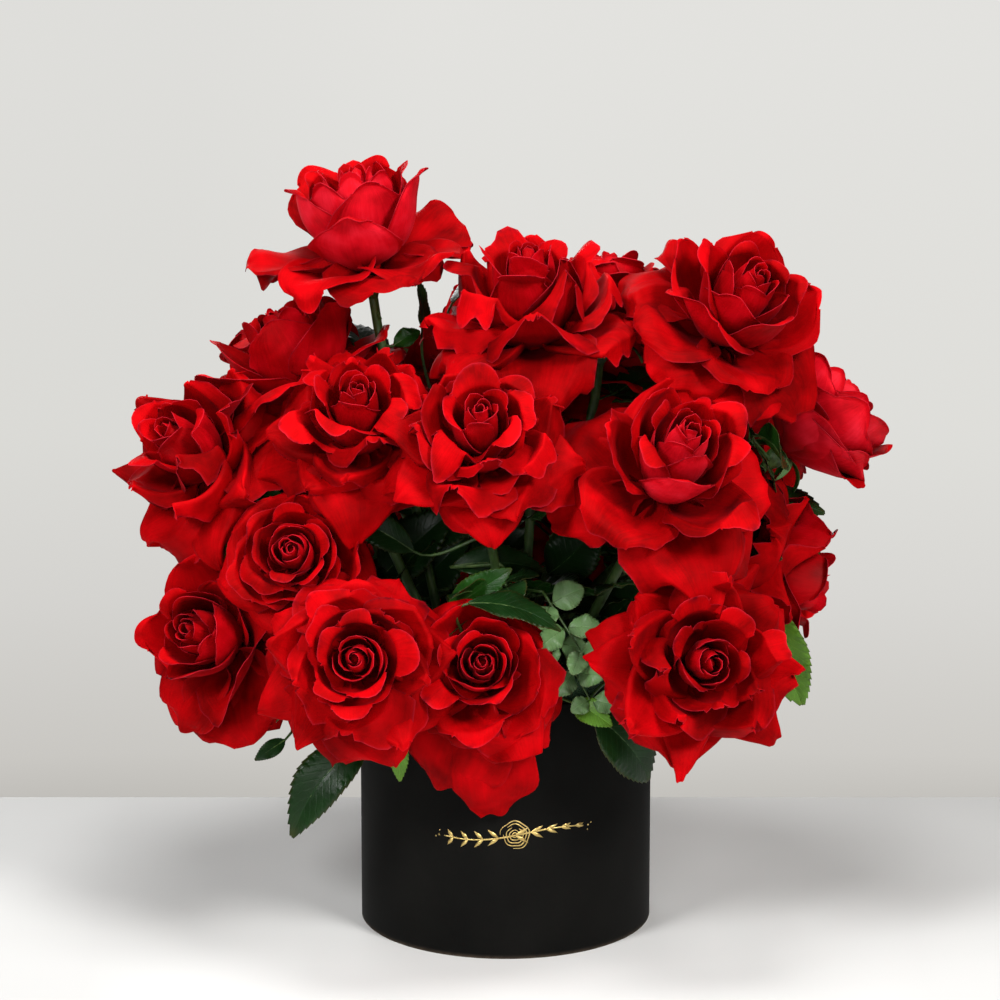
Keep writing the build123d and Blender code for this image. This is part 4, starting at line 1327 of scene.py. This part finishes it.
# ------------------------------------------------------------ put the arrangement together
def bloom_frame(hip, axis, spin):
    n = Vector(axis).normalized()
    q = n.to_track_quat('Z', 'Y').to_matrix().to_4x4()
    return Matrix.Translation(Vector(hip)) @ q @ Matrix.Rotation(math.radians(spin), 4, 'Z')


STYLE = {
    1: dict(seed=207, N=28, R=71., h=68., open=[0, .16, .33, .47, .96, 1.0], lift=17., lift_sd=2.5, wave=1.9, fold=.45, kite=.1, soft=.3, ruffle=1.2, sag=2., pink=1),
    2: dict(seed=102, N=28, R=71., h=62., open=[0, .12, .28, .5, .8, 1.0], lift=10., fold=.35, soft=.4, wave=1.3),
    3: dict(seed=103, N=32, R=62., h=53., open=[0, .14, .34, .55, .80, 1.0], kite=.9, taper=.6, sag=5., wave=.8, fold=1.2),
    4: dict(seed=104, N=28, R=66., kite=1., fold=1.3, wave=.6, sag=6., wid=1.02, taper=.55),
    5: dict(seed=105, N=31, R=59., h=54., kite=.9, fold=1.2, wave=.7, sag=5., trail=.5, taper=.6),
    6: dict(seed=106, N=33, R=69., h=64., lift=9., lift_sd=9., fold=1.05, kite=.6, wave=1.3, sag=9., trail=.6, taper=.6),
    7: dict(seed=107, R=60., lift=12., fold=.8),
    8: dict(seed=108, N=31, R=64., h=64., open=[0, .12, .28, .5, .80, .97], fold=.65, soft=.2, wave=1.9, ruffle=1.2, sag=2., trail=.3),
    9: dict(seed=302, N=24, R=62., h=62., open=[0, .12, .26, .42, .54, .60], fold=.2, kite=0., soft=1., curl=.8, lift=8., lift_sd=1., wave=1.0, ruffle=.4, ragged=.02, wid=1.25, sag=1., pink=1, extra=[
        (.66, -66., dict(R=63., h=56., fold=.14, soft=1., kite=0., lift=2., lift_sd=0., wave=1.3, ruffle=.8, wid=1.25, pinch=0.)),
        (.72, -112., dict(R=62., h=54., fold=.14, soft=1., kite=0., lift=2., lift_sd=0., wave=1.3, ruffle=.8, wid=1.2, pinch=0.)),
        (.64, -158., dict(R=62., h=56., fold=.14, soft=1., kite=0., lift=2., lift_sd=0., wave=1.2, wid=1.2, pinch=0.)),
        (.74, -44., dict(R=54., h=50., fold=.14, soft=1., kite=0., lift=2., lift_sd=0., wave=1.2, wid=1.15, pinch=0.))]),
    10: dict(seed=110, N=30, R=69., h=72., open=[0, .10, .24, .42, .84, 1.0], fold=.8, kite=.5, soft=.1, wave=1.3, ruffle=1.1, sag=7., trail=.6, wid=1.05, pink=1),
    11: dict(seed=111, R=72., lift=-10., kite=.9, fold=1.1, trail=.4),
    12: dict(seed=112, N=32, R=67., h=52., kite=1.0, fold=1.35, wave=.5, sag=4., wid=.96, taper=.45, ragged=.1),
    13: dict(seed=113, R=48., h=44., fold=.8, soft=.1, sag=4.),
    14: dict(seed=114, N=27, R=58., h=56., open=[0, .12, .26, .44, .80, .95], fold=.45, soft=.35, wave=1.4, lift=2., sag=5., trail=.6, wid=1.12),
    15: dict(seed=115, N=36, R=61., h=46., open=[0, .18, .40, .62, .86, 1.0], fold=1.15, kite=.8, wave=.6, ruffle=.3, taper=.6),
    16: dict(seed=116, N=27, R=48., h=54., open=[0, .12, .28, .46, .70, .90], fold=.7, soft=.2, wave=1.2, sag=4., trail=.5, extra=[
        (.95, -26., dict(R=60., h=54., fold=.14, soft=1., kite=0., lift=-4., lift_sd=0., wave=1.5, ruffle=1.8, wid=.98, pinch=0.)),
        (1.0, 8., dict(R=70., h=54., fold=.10, soft=1., kite=0., lift=-12., lift_sd=0., wave=1.3, ruffle=1.5, wid=.80, pinch=0.)),
        (.80, 30., dict(R=52., h=54., fold=.9, kite=0., lift=6., wave=1.6, wid=.8)),
        (.92, 66., dict(R=56., h=54., fold=.9, kite=0., lift=8., wave=2.2, ruffle=2.0, wid=.85))]),
}
for num, (hip, axis, entry, straight, depth, rad) in ROSES.items():
    P = dict(R=rad * 1.22, h=55., fold=(.45, .75, 1.05)[num % 3], kite=(.3, .6, .9)[num % 3], sag=6., wave=(1.3, 1., .8)[num % 3])
    st = dict(STYLE.get(num, {}))
    seed, spin = st.pop('seed', num), st.pop('spin', 0)
    pink = st.pop('pink', 0)
    P.update(st)
    me = rose_mesh(f"bloom_{num:02d}", seed, P, bloom_frame(hip, axis, spin))
    ob = link(bpy.data.objects.new(me.name, me))
    # pink roses get the brighter back, partly a painted highlight
    dress(ob, 'petal_front', 'petal_back_pink_highlight' if pink else 'petal_back')
    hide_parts(f"rose_{num:02d}_head")
    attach(ob, ARR)
    make_stem(num, hip, axis, entry, straight, depth)

KIND = {'leaf_f05': 'sprig', 'leaf_f06': 'sprig'}
for i, (name, node, base, tip, face, width, tone) in enumerate(LEAVES):
    lone = name[5] in 'frl' or name in ('leaf_g01', 'leaf_b03')
    make_leaf(i, name, node, base, tip, face, width, tone, KIND.get(name, 'leaf'), 0 if lone else 1)

for k, inner in enumerate(inner_foliage()):
    name = f"inner_leaves_{k + 1}"
    ob = link(bpy.data.objects.new(name, inner.mesh(name)))
    dress(ob, 'leaf_dark', 'leaf_mid', 'stem')
    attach(ob, ARR)

# ------------------------------------------------------------ table, backdrop light, lamps
def slab_table():
    V, F = [], []
    x0, x1, y0, y1, zt, zb = -1.6, 1.6, -3.4, .235, 0.0, -.04
    r = .004
    prof = [(y0, zb), (y0, zt - r), (y0 + r * .3, zt - r * .3), (y0 + r, zt)]
    prof += [(y1 - r, zt), (y1 - r * .3, zt - r * .3), (y1, zt - r), (y1, zb)]
    for x in (x0, x1):
        V += [(x, y, z) for y, z in prof]
    n = len(prof)
    for i in range(n):
        j = (i + 1) % n
        F.append((i, j, n + j, n + i))
    F.append(tuple(range(n - 1, -1, -1)))
    F.append(tuple(n + i for i in range(n)))
    return mesh_from("table_top", V, F, 1.0, False)


tab = link(bpy.data.objects.new("table_top", slab_table()))
dress(tab, 'table')

w = bpy.data.worlds.new("studio")
scene.world = w
w.use_nodes = True
nt = w.node_tree
nt.nodes.clear()
wo = nt.nodes.new('ShaderNodeOutputWorld')
bgc = nt.nodes.new('ShaderNodeBackground')
bgl = nt.nodes.new('ShaderNodeBackground')
mx = nt.nodes.new('ShaderNodeMixShader')
lp = nt.nodes.new('ShaderNodeLightPath')
tc = nt.nodes.new('ShaderNodeTexCoord')
sp = nt.nodes.new('ShaderNodeSeparateXYZ')
nt.links.new(tc.outputs['Generated'], sp.inputs[0])
# wall seen from the front, with painted shade: palest high up, darker towards the table
el = ramp(nt, mth(nt, 'ADD', mth(nt, 'MULTIPLY', sp.outputs[2], 1.0), .5), [(.188, (.50, .485, .455)), (.203, (.61, .595, .565)), (.235, (.69, .68, .655)), (.267, (.735, .73, .70)), (.345, (.765, .76, .735)), (.6, (.78, .775, .755))])
# painted shade: a little darker to the left
off = mth(nt, 'MINIMUM', mth(nt, 'MULTIPLY', mth(nt, 'SUBTRACT', mth(nt, 'MULTIPLY', sp.outputs[0], -1.0), .015, clamp=True), .8), .04)
el = mixc(nt, off, el, (0, 0, 0))
nt.links.new(el, bgc.inputs['Color'])
bgc.inputs['Strength'].default_value = 1.0
bgl.inputs['Color'].default_value = (1.0, .985, .96, 1)
bgl.inputs['Strength'].default_value = .10
nt.links.new(lp.outputs['Is Camera Ray'], mx.inputs[0])
nt.links.new(bgl.outputs[0], mx.inputs[1])
nt.links.new(bgc.outputs[0], mx.inputs[2])
nt.links.new(mx.outputs[0], wo.inputs[0])


def area(name, loc, aim, size, power, color=(1, 1, 1)):
    l = bpy.data.lights.new(name, 'AREA')
    l.shape = 'DISK'
    l.size = size
    l.energy = power
    l.color = color
    o = link(bpy.data.objects.new(name, l))
    o.location = loc
    o.rotation_euler = (Vector(aim) - Vector(loc)).to_track_quat('-Z', 'Y').to_euler()


area("key_right", (1.45, -1.75, 1.9), (0, 0, .25), .75, 60, (1, .99, .98))
area("key_left", (-1.5, -1.6, 1.8), (0, 0, .25), .75, 44, (.99, .995, 1))
area("top", (-.05, -.1, 1.75), (0, 0, .25), .7, 17)
area("back", (-.5, 1.9, .6), (0, 0, .34), 1.2, 15)
area("front", (-.35, -2.7, .85), (0, 0, .22), .9, 13)
